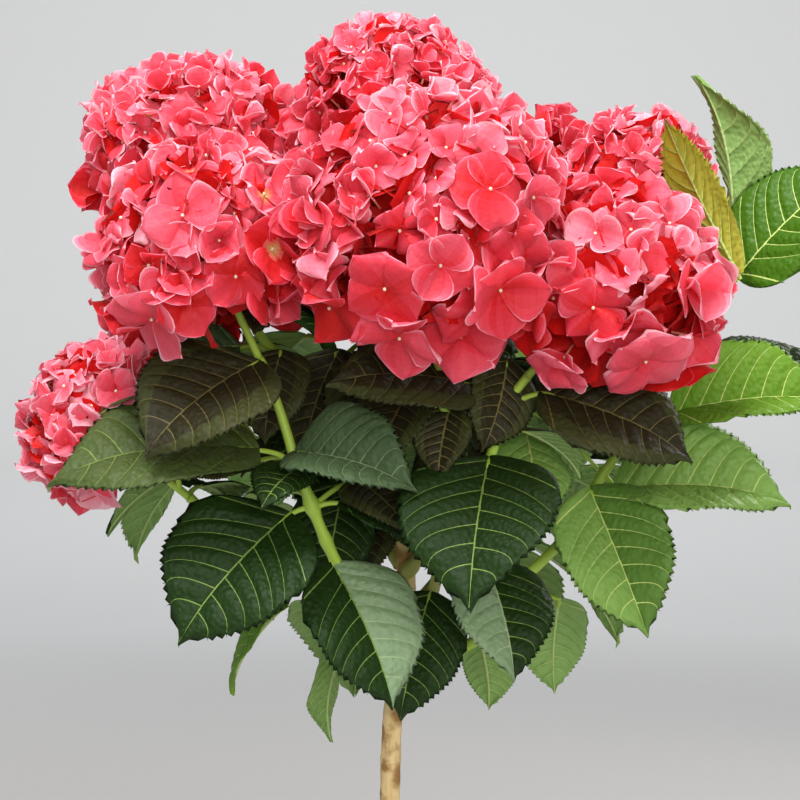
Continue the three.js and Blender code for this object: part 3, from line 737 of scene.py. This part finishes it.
def across_of(axis):
    """Two unit vectors square to an axis and to each other, the first of them level."""
    level = np.array([axis[1], -axis[0], 0.0])
    if np.linalg.norm(level) < 0.01:
        level = np.array([1.0, 0, 0])
    level /= np.linalg.norm(level)
    return level, np.cross(level, axis)


def on_dome(head, turn, fall, scale):
    """Points on a head's dome, from the turn round its axis and the angle down from its top."""
    u, v = across_of(head["up"])
    turn, fall, scale = np.broadcast_arrays(turn, fall, scale)
    out = u * np.cos(turn)[..., None] + v * np.sin(turn)[..., None]
    flat = out * (np.sin(fall) * head["across"] * scale)[..., None]
    return head["middle"] + flat + head["up"] * (np.cos(fall) * head["deep"] * scale)[..., None]


def floret_seats(head, spacing):
    """Turns and falls of a spiral that gives each floret the same share of the dome."""
    share = 1 - math.cos(DOME_WRAP)
    count = round(2 * math.pi * head["across"] * head["deep"] * share / spacing**2)
    place = np.arange(count)
    return place * GOLDEN_ANGLE, np.arccos(1 - (place + 0.5) / count * share)


def way_points(way, start, spacing):
    count = math.ceil((1 - start) * way.length / spacing)
    return way.at(start + (1 - start) * np.arange(count + 1) / count)


class Room:
    """Room taken so far: points with a radius and the name of the shoot that they belong to."""

    def __init__(self):
        self.owners, self.points, self.radii = [], np.zeros((0, 3)), np.zeros(0)

    def take(self, owner, points, radius):
        self.owners += [owner] * len(points)
        self.points = np.vstack([self.points, points])
        self.radii = np.concatenate([self.radii, np.full(len(points), float(radius))])

    def is_clear(self, owner, points):
        others = np.array([one != owner for one in self.owners])
        apart = np.linalg.norm(points[:, None] - self.points[None, others], axis=2)
        return bool((apart > self.radii[others] + LEAF_CLEARANCE).all())


def leaf_pair(curve, share, heading, deal, lengths=(95, 125)):
    """A pair of filling leaves, opposite each other on the shoot, by the plan's seeded rule."""
    for turn in (0, 180):
        root = curve.at(share)[0]
        facing = heading + turn - 15 + 30 * next(deal)
        length = lengths[0] + (lengths[1] - lengths[0]) * next(deal)
        foot = root + pointing(facing, 15) * 0.28 * length
        pitch = -15 - 35 * next(deal)
        roll = -15 + 30 * next(deal)
        leaf = dict(share=share, root=root, foot=foot, heading=facing, pitch=pitch, length=length)
        yield leaf | {"roll": roll, "fold": BLADE_FOLD, "width": BLADE_WIDTH}


def planned_leaf(curve, tone, share, foot, *row):
    """A leaf from its row of the plan."""
    usual = [0, 0, 0, 0, BLADE_FOLD, BLADE_WIDTH]
    sizes = zip(("heading", "pitch", "length", "roll", "fold", "width"), [*row, *usual[len(row) :]])
    leaf = {"root": curve.at(share)[0], "foot": np.array(foot, float), "tone": tone, "share": share}
    return leaf | dict(sizes)


def blade_points(leaf):
    """Closely set points all over a blade."""
    i, j = np.meshgrid(np.linspace(0, 1, 17), np.linspace(-1, 1, 11), indexing="ij")
    return on_blade(leaf, i, j).reshape(-1, 3)


def is_open(points, taken):
    """Whether a shaded leaf's points keep clear of all that grows round it."""
    reach = np.linalg.norm(points.max(0) - points.min(0)) / 2 + SHADED_CLEARANCE
    near = taken[np.linalg.norm(taken - points.mean(0), axis=1) < reach + 40]
    apart = np.linalg.norm(points[:, None] - near[None], axis=2)
    return apart.size == 0 or apart.min() > SHADED_CLEARANCE


room = Room()
for name, plan in shoots.items():
    if "head" in plan:
        seats = on_dome(plan["head"], *floret_seats(plan["head"], FLORET_SPACING_IN_PLAN), 0.85)
        room.take(name + "_head", seats, FLORET_ROOM)
    room.take(name, way_points(plan["curve"], 0.1, 8), SHOOT_RADIUS)
room.take("trunk", way_points(trunk_way, 0, 8), TRUNK_RADIUS)
for name, plan in shoots.items():
    plan["grown"] = [planned_leaf(plan["curve"], *row) for row in plan["leaves"]]
    for leaf in plan["grown"]:
        room.take(name, leaf_points(leaf), 0)
for index, (name, plan) in enumerate(shoots.items()):
    deal = dealer(FIRST_SEED + SEED_STEP * index)
    pairs = [leaf for fill in plan.get("fill", []) for leaf in leaf_pair(plan["curve"], *fill, deal)]
    plan["deal"] = deal
    for leaf in pairs:
        if room.is_clear(name, leaf_points(leaf)):
            room.take(name, leaf_points(leaf), 0)
            plan["grown"].append(leaf | {"tone": "mid" if next(deal) > 0.5 else "deep"})
    plan["grown"] += [planned_leaf(plan["curve"], *row) for row in plan.get("shade", [])]

taken = [blade_points(leaf) for plan in shoots.values() for leaf in plan["grown"]]
taken += [way_points(plan["curve"], 0, 4) for plan in shoots.values()]
for index, (name, plan) in enumerate(shoots.items()):
    deal = dealer(SHADED_SEED + SEED_STEP * index)
    for _ in range(SHADED_TRIES):
        share, heading = 0.28 + 0.4 * next(deal), 360 * next(deal)
        leaf = next(leaf_pair(plan["curve"], share, heading, deal, SHADED_LENGTH))
        points = blade_points(leaf)
        inside = np.linalg.norm((points - CROWN_CORE) / CROWN_REACH, axis=1) < 1
        if inside.all() and is_open(points, np.vstack(taken)):
            taken.append(points)
            # Leaves inside the crown are given the painted-shade brown tone and the dark green one.
            plan["grown"].append(leaf | {"tone": "umber" if next(deal) > 0.5 else "deep"})


def leaf_skin(name, hex_colour, through, roughness):
    """Leaf skin: a waxy cuticle over a net of fine veins, that lets a little light through."""
    material, tree, place = start_material(name)
    net = add_node(
        tree,
        "TexVoronoi",
        {"Vector": place, "Scale": 1 / (VEIN_NET * MM), "Smoothness": 0.7},
        feature="SMOOTH_F1",
    )
    cells = add_node(tree, "TexNoise", {"Vector": place, "Scale": 1 / (LEAF_CELLS * MM), "Detail": 3.0})
    gloss = add_node(tree, "TexNoise", {"Vector": place, "Scale": 1 / (LEAF_SHEEN * MM), "Detail": 4.0})
    worn = add_node(
        tree,
        "MapRange",
        {"Value": gloss, "To Min": roughness - 0.1, "To Max": roughness + 0.12},
    )
    puffed = add_node(tree, "Bump", {"Height": net, "Strength": 1.0, "Distance": 1.1 * MM}, invert=True)
    bump = add_node(
        tree,
        "Bump",
        {"Height": cells, "Strength": 0.12, "Distance": 0.3 * MM, "Normal": puffed},
    )
    skin = {"Base Color": hex_colour, "Roughness": worn, "IOR": 1.42, "Normal": bump}
    return coat(material, tree, skin, (through, hex_colour))


# Tones of leaf face: colour, share of light let through, roughness, and the tone of its veins
# Painted light and shade: the tones are lit and shaded copies of the leaves' green. The brown tone and deep
# are painted shade, partly the leaves' own dark green; mid, fresh and grass are partly painted light;
# backlit and olive paint light shining through the leaf; teal and the grey-green sheen tone paint a sheen.
# The veins' tones follow their leaf's.
TONES = {
    "umber": ("#2a2813", 0.1, 0.6, "vein_dark"),
    "umber_edge": ("#383c1b", 0.12, 0.6, "vein_dark"),
    "deep": ("#1b340b", 0.15, 0.56, "vein_green"),
    "teal": ("#435838", 0.1, 0.54, "vein_grey"),
    "moss": ("#4a5a2c", 0.12, 0.5, "vein_green"),
    "fresh": ("#4a751b", 0.3, 0.42, "vein_bright"),
    "grass": ("#62893a", 0.25, 0.44, "vein_bright"),
    "mid": ("#8bb359", 0.3, 0.42, "vein_bright"),
    "backlit": ("#80ad38", 0.45, 0.42, "vein_bright"),
    "olive": ("#c0ba46", 0.4, 0.5, "vein_bright"),
    "frost": ("#869f79", 0.15, 0.42, "vein_painted_sheen"),
    "underside": ("#92b66a", 0.3, 0.6, "vein_under"),
    "vein_dark": ("#6b6338", 0.1, 0.5, ""),
    "vein_green": ("#7c9648", 0.15, 0.45, ""),
    "vein_grey": ("#75895f", 0.1, 0.5, ""),
    "vein_bright": ("#d2e386", 0.25, 0.45, ""),
    "vein_painted_sheen": ("#a5bb8e", 0.15, 0.45, ""),
    "vein_under": ("#b4cb84", 0.2, 0.5, ""),
}
leaf_materials = [
    leaf_skin(tone if vein == "" else "leaf_" + tone, *skin) for tone, (*skin, vein) in TONES.items()
]
TONE_NUMBER = {tone: number for number, tone in enumerate(TONES)}


def vein_course(start, across):
    """The share along a blade of the point at across (0 to 1) of the side vein that starts at start."""
    bend = 0.65 * across + 0.35 * across**2.2
    return start + VEIN_SWEEP * bend * (1 - np.exp(-start / 0.05) - start)


def half_rows(offset):
    """Rows along the side veins of half a blade: start, side of a vein, swell, tooth, is on a vein."""
    spacing = (LAST_VEIN - FIRST_VEIN) / (SIDE_VEINS - 0.5)
    marks = [*(FIRST_VEIN + (np.arange(SIDE_VEINS) + offset) * spacing), 1.0]
    rows = [(mark * marks[0], 0, 0.5, 0, 0) for mark in (0.02, 0.1, 0.2, 0.32, 0.45, 0.6, 0.8)]
    for mark, following in zip(marks, marks[1:]):
        rows += [(mark, side, 0, side == 0, 1) for side in (-1, 0, 1)]
        for place, tooth in ((0.25, 1), (0.5, 0), (0.75, 1)):
            swell = math.sin(math.pi * place) ** 0.7
            rows.append((mark + (following - mark) * place, 0, swell, tooth, 0))
    return np.array([*rows, (0.996, 0, 0, 0, 0)], float).T


def leaf_shape(leaf, share, across, lift=0.0):
    """Points of a finished blade: drawn out at its tip, twisted, wavy and turned down at its edge."""
    taper = 1 + 0.16 * np.exp(-(((share - 0.68) / 0.17) ** 2))
    taper = taper - 0.5 * np.exp(-(((share - 0.96) / 0.06) ** 2))
    wave = 0.018 * np.sin(share * leaf["waves"] + leaf["phase"] + 1.5 * np.sign(across))
    edge = wave * across**2 - 0.03 * across**4
    droop = -0.3 * np.clip(share - 0.6, 0, 1) ** 2
    twist = leaf["twist"] * (share - 0.3) * blade_half_width(share) * leaf["width"] * across
    return on_blade(leaf, share, across, lift + edge + droop + twist, taper)


def grow_half(heap, leaf, sign, columns):
    """Adds half a blade: its face and its underside, which meet at a toothed margin."""
    start, side_of_vein, swell, tooth, on_vein = half_rows(leaf["offset"] if sign > 0 else 0)
    t = np.sin(np.linspace(0, 1, columns) * 1.25) / math.sin(1.25)
    vein_width = (VEIN_WIDTH[0] + (VEIN_WIDTH[1] - VEIN_WIDTH[0]) * t) / leaf["length"]
    m = start[:, None] + side_of_vein[:, None] * vein_width
    share = np.clip(vein_course(m, t), 0.002, 0.998)
    fade = np.clip(t * 7, 0, 1) * np.clip((1 - t) * 5, 0, 1) * (1 - 0.4 * share)
    shuffle = np.modf(np.abs(np.sin(np.arange(m.size) * 12.9898 + leaf["phase"])) * 43758.5)[0]
    puckers = (shuffle.reshape(m.shape) - 0.5) * PUCKER
    lift = (QUILT * swell[:, None] + puckers * (swell[:, None] > 0)) * fade
    face = leaf_shape(leaf, share, sign * t[None, :], lift)
    along, side, up = leaf_axes(leaf)
    size = leaf["length"] / 110 * np.clip((0.97 - share[:, -1]) * 12, 0, 1) * (share[:, -1] > 0.05)
    push = (along * TOOTH[0] + side * sign * TOOTH[1] - up * 0.3) * (size * tooth)[:, None]
    face[:, -1] += push
    rows, last = face.shape[0], columns - 1
    ridge = BLADE_THICKNESS + 0.6 * (side_of_vein[:, None] == 0) * on_vein[:, None] * (1 - 0.6 * t)
    under = (face - up * ridge[..., None])[:, :last]
    top = heap.count + np.arange(rows * columns).reshape(rows, columns)
    low = heap.count + rows * columns + np.arange(rows * last).reshape(rows, last)
    low = np.concatenate([low, top[:, -1:]], 1)
    vein_strip = (on_vein[:-1] * on_vein[1:] > 0)[:, None] & (np.arange(last) < last - 1)
    # A leaf may have a tone for each half; the grey-green sheen tone paints a highlight on the half that
    # faces the light.
    tone = leaf["tone"].split("/")[-1 if sign > 0 else 0]
    below = "olive" if tone == "olive" else "underside"
    skin = np.full(last, TONE_NUMBER[tone])
    # On the brown leaves of painted shade, the margin is painted a less dark green.
    if tone == "umber":
        skin[t[:-1] > 0.6] = TONE_NUMBER["umber_edge"]
    heap.add(np.concatenate([face.reshape(-1, 3), under.reshape(-1, 3)]) * MM, np.zeros((0, 4)), 0)
    for index, plain, vein in ((top, skin, TONES[tone][3]), (low, TONE_NUMBER[below], TONES[below][3])):
        corners = [index[:-1, :-1], index[:-1, 1:], index[1:, 1:], index[1:, :-1]]
        faces = np.stack(corners, -1).reshape(-1, 4)
        if (sign > 0) == (index is top):
            faces = faces[:, [0, 3, 2, 1]]  # keeps the diagonal, so the two sides stay apart
        finish = np.where(vein_strip, TONE_NUMBER[vein], plain).ravel()
        heap.add(np.zeros((0, 3)), faces - heap.count, finish)


def grow_midrib(heap, leaf):
    """Adds the midrib: a low pale ridge along the face and a higher one underneath."""
    share = np.linspace(0.0, 0.985, 26)
    line = leaf_shape(leaf, share, np.zeros_like(share))
    up = leaf_axes(leaf)[2]
    beside = np.cross(up, np.gradient(line, axis=0))
    beside /= np.linalg.norm(beside, axis=1, keepdims=True)
    half = np.interp(share, (0, 0.15, 1), MIDRIB_WIDTH)[:, None] / 2
    vein = TONES[leaf["tone"].split("/")[0]][3]
    below = "vein_bright" if leaf["tone"] == "olive" else "vein_under"
    for crest, finish in ((0.25, vein), (-BLADE_THICKNESS - 1.3, below)):
        foot = np.sign(crest) * 0.15 - (crest < 0) * BLADE_THICKNESS
        offsets = [(-1, foot), (-0.6, crest), (0.6, crest), (1, foot)]
        rows = np.stack([line + beside * half * x + up * z for x, z in offsets], 1)
        heap.add(rows.reshape(-1, 3) * MM, grid_faces(len(share), 4), TONE_NUMBER[finish])


def grow_petiole(heap, leaf):
    """Adds the curved stalk from the shoot into the blade's foot."""
    end = on_blade(leaf, np.array([0.02]), np.array([0.0]))[0] - leaf_axes(leaf)[2] * 0.8
    further = on_blade(leaf, np.array([0.1]), np.array([0.0]))[0] - leaf_axes(leaf)[2] * 0.8
    span = np.linalg.norm(end - leaf["root"])
    middle = (leaf["root"] + end) / 2 + np.array([0, 0, 0.07 * span])
    way = Way([leaf["root"], middle, end, further])
    points, faces = limb(way, 0, 1, lambda s: PETIOLE_RADIUS * (1.15 - 0.45 * s), 8, 12)
    heap.add(points * MM, faces, 0)


def shoot_relief(nodes):
    """Swellings where leaves grow, for a shoot whose leaves grow at these lengths."""

    def relief(height, turn):
        swell = sum(0.8 * np.exp(-(((height - node) / 4.5) ** 2)) for node in nodes)
        return swell + 0.15 * np.cos(6 * turn) + 0 * height

    return relief


groups = {
    "left_side": ["left", "left_low", "back_left", "top", "low_left", "front"],
    "right_side": ["front_right", "right", "right_head", "low_right"],
    "rear": ["rear_right", "rear_left", "rear_low_left", "rear_low_right"],
}
for group, names in groups.items():
    blades, stems = Heap(), Heap()
    for name in names:
        plan = shoots[name]
        curve = plan["curve"]
        nodes = sorted({leaf["share"] * curve.length for leaf in plan["grown"]})
        points, faces = limb(
            curve, BOUGH_END, plan["stem_end"], shoot_radius, 12, 60, shoot_relief(nodes)
        )
        stems.add(points * MM, faces, 0)
        for leaf in plan["grown"]:
            phase, waves, offset, twist = (next(plan["deal"]) for _ in range(4))
            leaf |= {"phase": 6.28 * phase, "waves": 8 + 8 * waves}
            leaf |= {"offset": 0.2 + 0.3 * offset, "twist": 0.35 * (twist - 0.5)}
            fine = group != "rear" and leaf["length"] > 60
            for sign in (-1, 1):
                grow_half(blades, leaf, sign, 11 if fine else 7)
            grow_midrib(blades, leaf)
            grow_petiole(stems, leaf)
    leaves = blades.piece("leaves_of_" + group, leaf_materials)
    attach(leaves, "root")
    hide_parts(*["leaves_" + name for name in names])
    green = stems.piece("shoots_of_" + group, [young_shoot("green_shoot_" + group, *SHOOT_GREENS)])
    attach(green, "root")


# ---- The flower heads ----
# Domed heads of sterile florets, each with four broad coral sepals round a tiny bud, on thin green
# stalks. The sepals overlap in two pairs, cupped or folded back, and are soft and let light through.
# Their colour is their own coral tone with painted shade and light: darker red on florets low on a head,
# near each eye and on a layer inside the dome, paler on florets near the top and at the sepals' edges.
# The youngest have a green eye.

SEPALS = 4
# For each head: the share of its size where its florets' eyes lie, a floret's reach from its eye to a
# sepal's tip at the head's foot and at its top, how many keep a green eye, how much deeper their
# colour is, and how finely they are made
HEAD_FLORETS = {
    "left": (0.95, 26, 18, 0.2, -3, "finest"),
    "front": (0.95, 28, 18, 0.0, -1, "fine"),
    "front_right": (0.95, 28, 19, 0.0, -1, "fine"),
    "right_head": (0.95, 19, 15, 0.0, -3, "medium"),
    "left_low": (0.95, 20, 16, 0.0, -9, "medium"),
    "back_left": (0.95, 20, 15, 0.3, -5, "medium"),
    "top": (0.95, 19, 13, 0.12, -5, "medium"),
    "rear_right": (1.0, 24, 18, 0.0, 0, "plain"),
    "rear_left": (1.0, 24, 18, 0.05, 0, "plain"),
    "rear_low_left": (1.0, 22, 17, 0.0, 0, "plain"),
    "rear_low_right": (1.0, 22, 17, 0.0, 0, "plain"),
}
# The shares along a sepal and the places across it of its points
SEPAL_GRIDS = {
    "finest": (
        (0, 0.07, 0.14, 0.21, 0.3, 0.4, 0.5, 0.6, 0.71, 0.81, 0.9, 0.965, 1),
        (0, 0.3, 0.6, 0.82, 0.94, 1),
    ),
    "fine": ((0, 0.13, 0.28, 0.43, 0.57, 0.7, 0.81, 0.9, 0.965, 1), (0, 0.3, 0.6, 0.82, 0.94, 1)),
    "medium": ((0, 0.12, 0.25, 0.45, 0.65, 0.84, 0.95, 1), (0, 0.45, 0.89, 1)),
    "plain": ((0, 0.3, 0.6, 0.84, 1), (0, 0.6, 0.92, 1)),
    "inner": ((0, 0.4, 0.8, 1), (0, 1)),
}
# Each large floret that faces forwards: its eye to the side of and above its head's middle, its reach,
# and how much deeper its colour is, which is partly painted light and shade
LARGE_FLORETS = {
    "front": [
        (-25, -34, 27, 0), (5, -21, 26, -3), (38, -35, 31, -2),
        (32, 20, 26, -6), (-17, -62, 31, 1), (-56, -46, 30, 2),
    ],
    "front_right": [(-29, -41, 32, -13), (16, -43, 32, -14), (-15, -12, 28, -2), (38, -1, 28, -8)],
    "left": [(-29, -40, 32, -6), (40, 0, 27, -1), (20, -15, 25, 2), (-9, 19, 25, -5)],
}
FLORET_CROWDING = 0.88  # the spacing of florets, of their middling reach
HEAD_GAP = 46  # heads nearer than this to each other keep to their own sides
FLORET_TILT = 0.42  # how unevenly florets face outwards
EYE_DEPTH = (1, 9)  # how far their eyes lie below the dome
CUPPED_SHARE = 0.32  # of the florets
INNER_LAYER, INNER_REACH = 0.76, 1.3  # of the layer inside it: the share of its size, and of its spacing
LARGE_ROOM = 0.7  # the room round a large floret's eye, of its reach
SEPAL_CELLS = 4.17  # drawn coarser than real cells, which are too fine to show
PLEATS, CRUMPLES = 0.65, 0.35  # how deep they are in a sepal 28 mm long
STREAKS = 1.3  # how uneven a sepal's shade is across it
FLORET_SEED = 300


def petal(name, hex_colour, through):
    """A sepal's skin: soft, velvety cells over thin coloured tissue that glows against the light."""
    material, tree, place = start_material(name)
    cells = add_node(tree, "TexNoise", {"Vector": place, "Scale": 1 / (SEPAL_CELLS * MM), "Detail": 5.0})
    bump = add_node(tree, "Bump", {"Height": cells, "Strength": 0.6, "Distance": 1.6 * MM})
    skin = {"Base Color": hex_colour, "Roughness": 0.45, "IOR": 1.4, "Sheen Weight": 0.05, "Normal": bump}
    return coat(material, tree, skin, (through, hex_colour))


# The petal shades serve both as the florets' own coral tones and as their painted light and shade, from
# pale highlight to dark red shade.
PETAL_COLOURS = ["#fdc6d3", "#f88ca1", "#f0596f", "#e83a4a", "#d61a1a"]  # from pale to deep
DEEPEST = 36


def petal_shade(number):
    """The hex colour of a shade from 0 to the deepest, between the petal colours."""
    place = number / DEEPEST * (len(PETAL_COLOURS) - 1)
    low = min(int(place), len(PETAL_COLOURS) - 2)
    pair = [bytes.fromhex(colour[1:]) for colour in PETAL_COLOURS[low : low + 2]]
    return "#" + bytes(round(a + (b - a) * (place - low)) for a, b in zip(*pair)).hex()


petal_materials = [petal(f"petal_{i}", petal_shade(i), 0.35) for i in range(DEEPEST + 1)]
EYE_COLOURS = ["#d4d07c", "#dcb070", "#e59069", "#ea7068"]  # from a green eye out to the petal's own
petal_materials += [petal(f"petal_eye_{i}", colour, 0.3) for i, colour in enumerate(EYE_COLOURS)]
petal_materials += [
    petal("floret_bud", "#efe2cc", 0.1),
    young_shoot("floret_stalk", "#c97862", "#b5604b"),
    young_shoot("head_stalk", *SHOOT_GREENS),
]
GREEN_EYE = DEEPEST + 1
BUD, FLORET_STALK, HEAD_STALK = range(GREEN_EYE + len(EYE_COLOURS), GREEN_EYE + len(EYE_COLOURS) + 3)
FLORET_SHADE = (22.5, 5)  # the middle and the spread of the florets' shades


def is_past(head, other, points):
    """Which points lie past the plane between a head and its neighbour."""
    between = other["middle"] - head["middle"]
    reach = head["across"] / (head["across"] + other["across"])
    return (points - head["middle"]) @ between > reach * (between @ between)


def place_florets(head, scale, spacing, draw):
    """Eyes and ways out of one layer of florets over a head's dome, at a scale of its size."""
    turn, fall = floret_seats(head, spacing)
    eyes = on_dome(head, turn + draw.uniform(-0.12, 0.12, len(turn)) + scale, fall, scale)
    kept = np.ones(len(turn), bool)
    for other in (plan["head"] for plan in shoots.values() if "head" in plan):
        near = np.linalg.norm(other["middle"] - head["middle"])
        if other is not head and near < head["across"] + other["across"] + HEAD_GAP:
            kept &= ~is_past(head, other, eyes)
    crowded = (eyes - head["middle"]) @ head["up"] / head["deep"] / scale
    kept &= draw.uniform(size=len(eyes)) < np.clip(0.62 + 0.5 * crowded, 0, 1)
    eyes = eyes[kept]
    out = eyes - head["middle"]
    out /= np.linalg.norm(out, axis=1, keepdims=True)
    height = out @ head["up"]
    out += draw.normal(0, FLORET_TILT, out.shape)
    out /= np.linalg.norm(out, axis=1, keepdims=True)
    return eyes - out * draw.uniform(*EYE_DEPTH, len(eyes))[:, None], out, height


def place_large_florets(head, rows):
    """Eyes, ways out, reaches and shades of a head's large florets, the shades partly painted light and
    shade.
    """
    beside, above, reach, deeper = np.array(rows, float).T
    radius = (head["across"] + head["deep"]) / 2
    out = np.stack([beside, -np.sqrt(radius**2 - beside**2 - above**2), above], -1) / radius
    return head["middle"] + out * radius, out, reach, deeper


def grow_florets(heap, eyes, out, reach, shade, green_share, grid, draw):
    """Adds florets with a reach and a shade each, which holds painted shade and light: two pairs of sepals
    round each eye.
    """
    rows, half_columns = (np.array(marks, float) for marks in SEPAL_GRIDS[grid])
    columns = np.unique(np.concatenate([-half_columns, half_columns]))
    count = len(eyes)
    one, each = (count, 1, 1, 1), (count, SEPALS, 1, 1)
    inner_pair = (np.arange(SEPALS) % 2)[None, :, None, None]
    length = reach[:, None, None, None] * draw.uniform(0.85, 1.08, one) * draw.uniform(0.94, 1.06, each)
    broad = draw.uniform(0.5, 0.6, each) * length
    cupped = draw.uniform(size=one) < CUPPED_SHARE
    lift = np.where(cupped, draw.uniform(0.3, 0.8, one), draw.normal(0.1, 0.18, one))
    lift = lift + 0.13 * inner_pair + draw.normal(0, 0.1, each)
    curl = draw.normal(-0.35, 0.5, one) + draw.normal(0, 0.3, each)
    fold = draw.normal(0.08, 0.26, one) + draw.normal(0, 0.15, each)
    cup = draw.normal(0.02, 0.3, one) + draw.normal(0, 0.2, each)
    ruffle = draw.uniform(0.04, 0.16, each)
    phase = draw.uniform(0, 2 * math.pi, each)
    spin = draw.uniform(0, 2 * math.pi, one) + draw.normal(0, 0.08, each)
    spin = spin + (np.arange(SEPALS) * math.pi / 2)[None, :, None, None]

    s, t = rows[None, None, :, None], columns[None, None, None, :]
    middle, step = (rows[1:] + rows[:-1]) / 2, np.diff(rows)
    slope = lift + curl * (middle[None, None, :, None] - 0.4)
    start = np.zeros(each)
    run = np.concatenate([start, np.cumsum(np.cos(slope) * step[:, None], 2)], 2) * length
    rise = np.concatenate([start, np.cumsum(np.sin(slope) * step[:, None], 2)], 2) * length
    tilt = lift + curl * (s - 0.4)
    outline = 0.1 * (1 - s) + np.abs(np.sin(math.pi * s**1.15)) ** draw.uniform(0.55, 0.95, each)
    half = broad * outline
    off = half * (fold * np.abs(t) + cup * t**2 - draw.uniform(0, 0.5, each) * t**4)
    off = off + length * ruffle * np.sin(8 * s + phase + 2 * t) * np.abs(t) ** 3 * s
    crumple = np.random.default_rng(count)
    pleats = crumple.normal(0, PLEATS, (count, SEPALS, 1, len(columns))) - 0.5 * (t == 0)
    pleats = pleats + crumple.normal(0, CRUMPLES, (count, SEPALS, len(rows), len(columns)))
    off = off + length / 28 * pleats * (1 - t**4) * np.sin(math.pi * s)
    x = run - off * np.sin(tilt) - length * 0.07 * t**2 * s
    y = half * t
    z = rise + off * np.cos(tilt) + 0.8 * inner_pair
    x, y, z = np.broadcast_arrays(x, y, z)
    flat = [x * np.cos(spin) - y * np.sin(spin), x * np.sin(spin) + y * np.cos(spin)]
    axes = [across_of(way) for way in out]
    points = eyes[:, None, None, None, :] + z[..., None] * out[:, None, None, None, :]
    for shares, axis in zip(flat, (np.array([a[i] for a in axes]) for i in (0, 1))):
        points = points + shares[..., None] * axis[:, None, None, None, :]

    faces = grid_faces(len(rows), len(columns))
    from_middle = np.abs(columns[1:] + columns[:-1]) / 2  # 0 for the strip along the midrib
    along, across = (marks.ravel() for marks in np.meshgrid(middle, from_middle, indexing="ij"))
    # Each floret's shade: its own tone, with the painted shade and light of its place on the head.
    floret_tone_and_shade = np.repeat(draw.normal(*FLORET_SHADE, count) + shade, SEPALS)
    floret_tone_and_shade = (floret_tone_and_shade + draw.normal(0, 1.6, len(floret_tone_and_shade)))[:, None]
    # Across a sepal: darker red near the eye, partly its own deeper base and partly painted shade in the
    # floret's hollow, and paler towards the margin, palest at the rim, partly its own pale rim and partly a
    # painted highlight.
    deeper = 6 + 15 * np.clip(0.35 - along, 0, 1) - 11 * across**3 - 8 * along**2
    deeper = deeper - 8 * ((across > 0.94) | (along > 0.96))
    streaks = np.tile(crumple.normal(0, STREAKS, (len(floret_tone_and_shade), len(from_middle))), len(middle))
    finish = np.clip(np.round(floret_tone_and_shade + deeper + streaks), 0, DEEPEST).astype(int)
    # The layer inside the dome is painted all the darkest red: painted shade in the gaps between florets.
    if grid == "inner":
        finish[:] = DEEPEST
    green = np.repeat(draw.uniform(size=count) < green_share, SEPALS)[:, None]
    breadth = 0.1 * (1 - along) + np.sin(math.pi * along**1.15) ** 0.75
    ring = (np.hypot(along, 0.55 * breadth * across) / 0.07).astype(int)
    finish = np.where((ring < len(EYE_COLOURS)) & green, GREEN_EYE + ring, finish)
    per_sepal = len(rows) * len(columns)
    every = faces[None] + (np.arange(count * SEPALS) * per_sepal)[:, None, None]
    heap.add(points.reshape(-1, 3) * MM, every.reshape(-1, 4), finish.ravel())


def grow_buds(heap, eyes, out):
    """Adds the tiny closed bud at each floret's eye."""
    points, faces = ball(6, 5)
    for eye, way_out in zip(eyes, out):
        heap.add((points * 1.1 + eye + way_out * 1.4) * MM, faces, BUD)


def grow_branches(heap, head, eyes):
    """Adds the thin green stalks that carry the florets, from the head's foot."""
    foot = head["middle"] - head["up"] * head["deep"] * 0.35
    for eye in eyes:
        middle = foot + (eye - foot) * 0.55 - head["up"] * 3
        way = Way([foot, middle, eye - (eye - foot) / np.linalg.norm(eye - foot)])
        points, faces = limb(way, 0, 1, lambda s: 1.3 - 0.5 * s, 4, 3)
        heap.add(points * MM, faces, FLORET_STALK)


head_groups = {
    "florets_front": ["front", "front_right"],
    "florets_left": ["left", "left_low"],
    "florets_high": ["back_left", "top", "right_head"],
    "florets_rear": ["rear_right", "rear_left", "rear_low_left", "rear_low_right"],
}
for number, (piece_name, names) in enumerate(head_groups.items()):
    heap = Heap()
    draw = np.random.default_rng(FLORET_SEED + number)
    for name in names:
        plan = shoots[name]
        head = plan["head"]
        scale, low_reach, high_reach, green_share, deeper, grid = HEAD_FLORETS[name]
        spacing = (low_reach + high_reach) / 2 * FLORET_CROWDING
        eyes, out, height = place_florets(head, scale, spacing, draw)
        # Florets low on a head reach further. Their colour is painted a darker red and that of florets near
        # the top paler: painted shade and light from above.
        low = np.clip(0.75 - height, 0, 1)
        reach, shade = high_reach + (low_reach - high_reach) * low, deeper + 10 * low - 6
        if name in LARGE_FLORETS:
            large = place_large_florets(head, LARGE_FLORETS[name])
            apart = np.linalg.norm(eyes[:, None] - large[0], axis=2)
            kept = (apart > LARGE_ROOM * large[2]).all(1)
            small = [marks[kept] for marks in (eyes, out, reach, shade)]
            eyes, out, reach, shade = (np.concatenate(pair) for pair in zip(small, large))
        grow_florets(heap, eyes, out, reach, shade, green_share, grid, draw)
        grow_buds(heap, eyes, out)
        grow_branches(heap, head, eyes)
        eyes, out, _ = place_florets(head, INNER_LAYER, spacing, draw)
        grow_florets(heap, eyes, out, np.full(len(eyes), spacing * INNER_REACH), 0, 0, "inner", draw)
        points, faces = limb(plan["curve"], plan["stem_end"], 0.93, shoot_radius, 10, 14)
        heap.add(points * MM, faces, HEAD_STALK)
    florets = heap.piece(piece_name, petal_materials)
    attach(florets, "root")
    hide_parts(*["head_" + name for name in names])
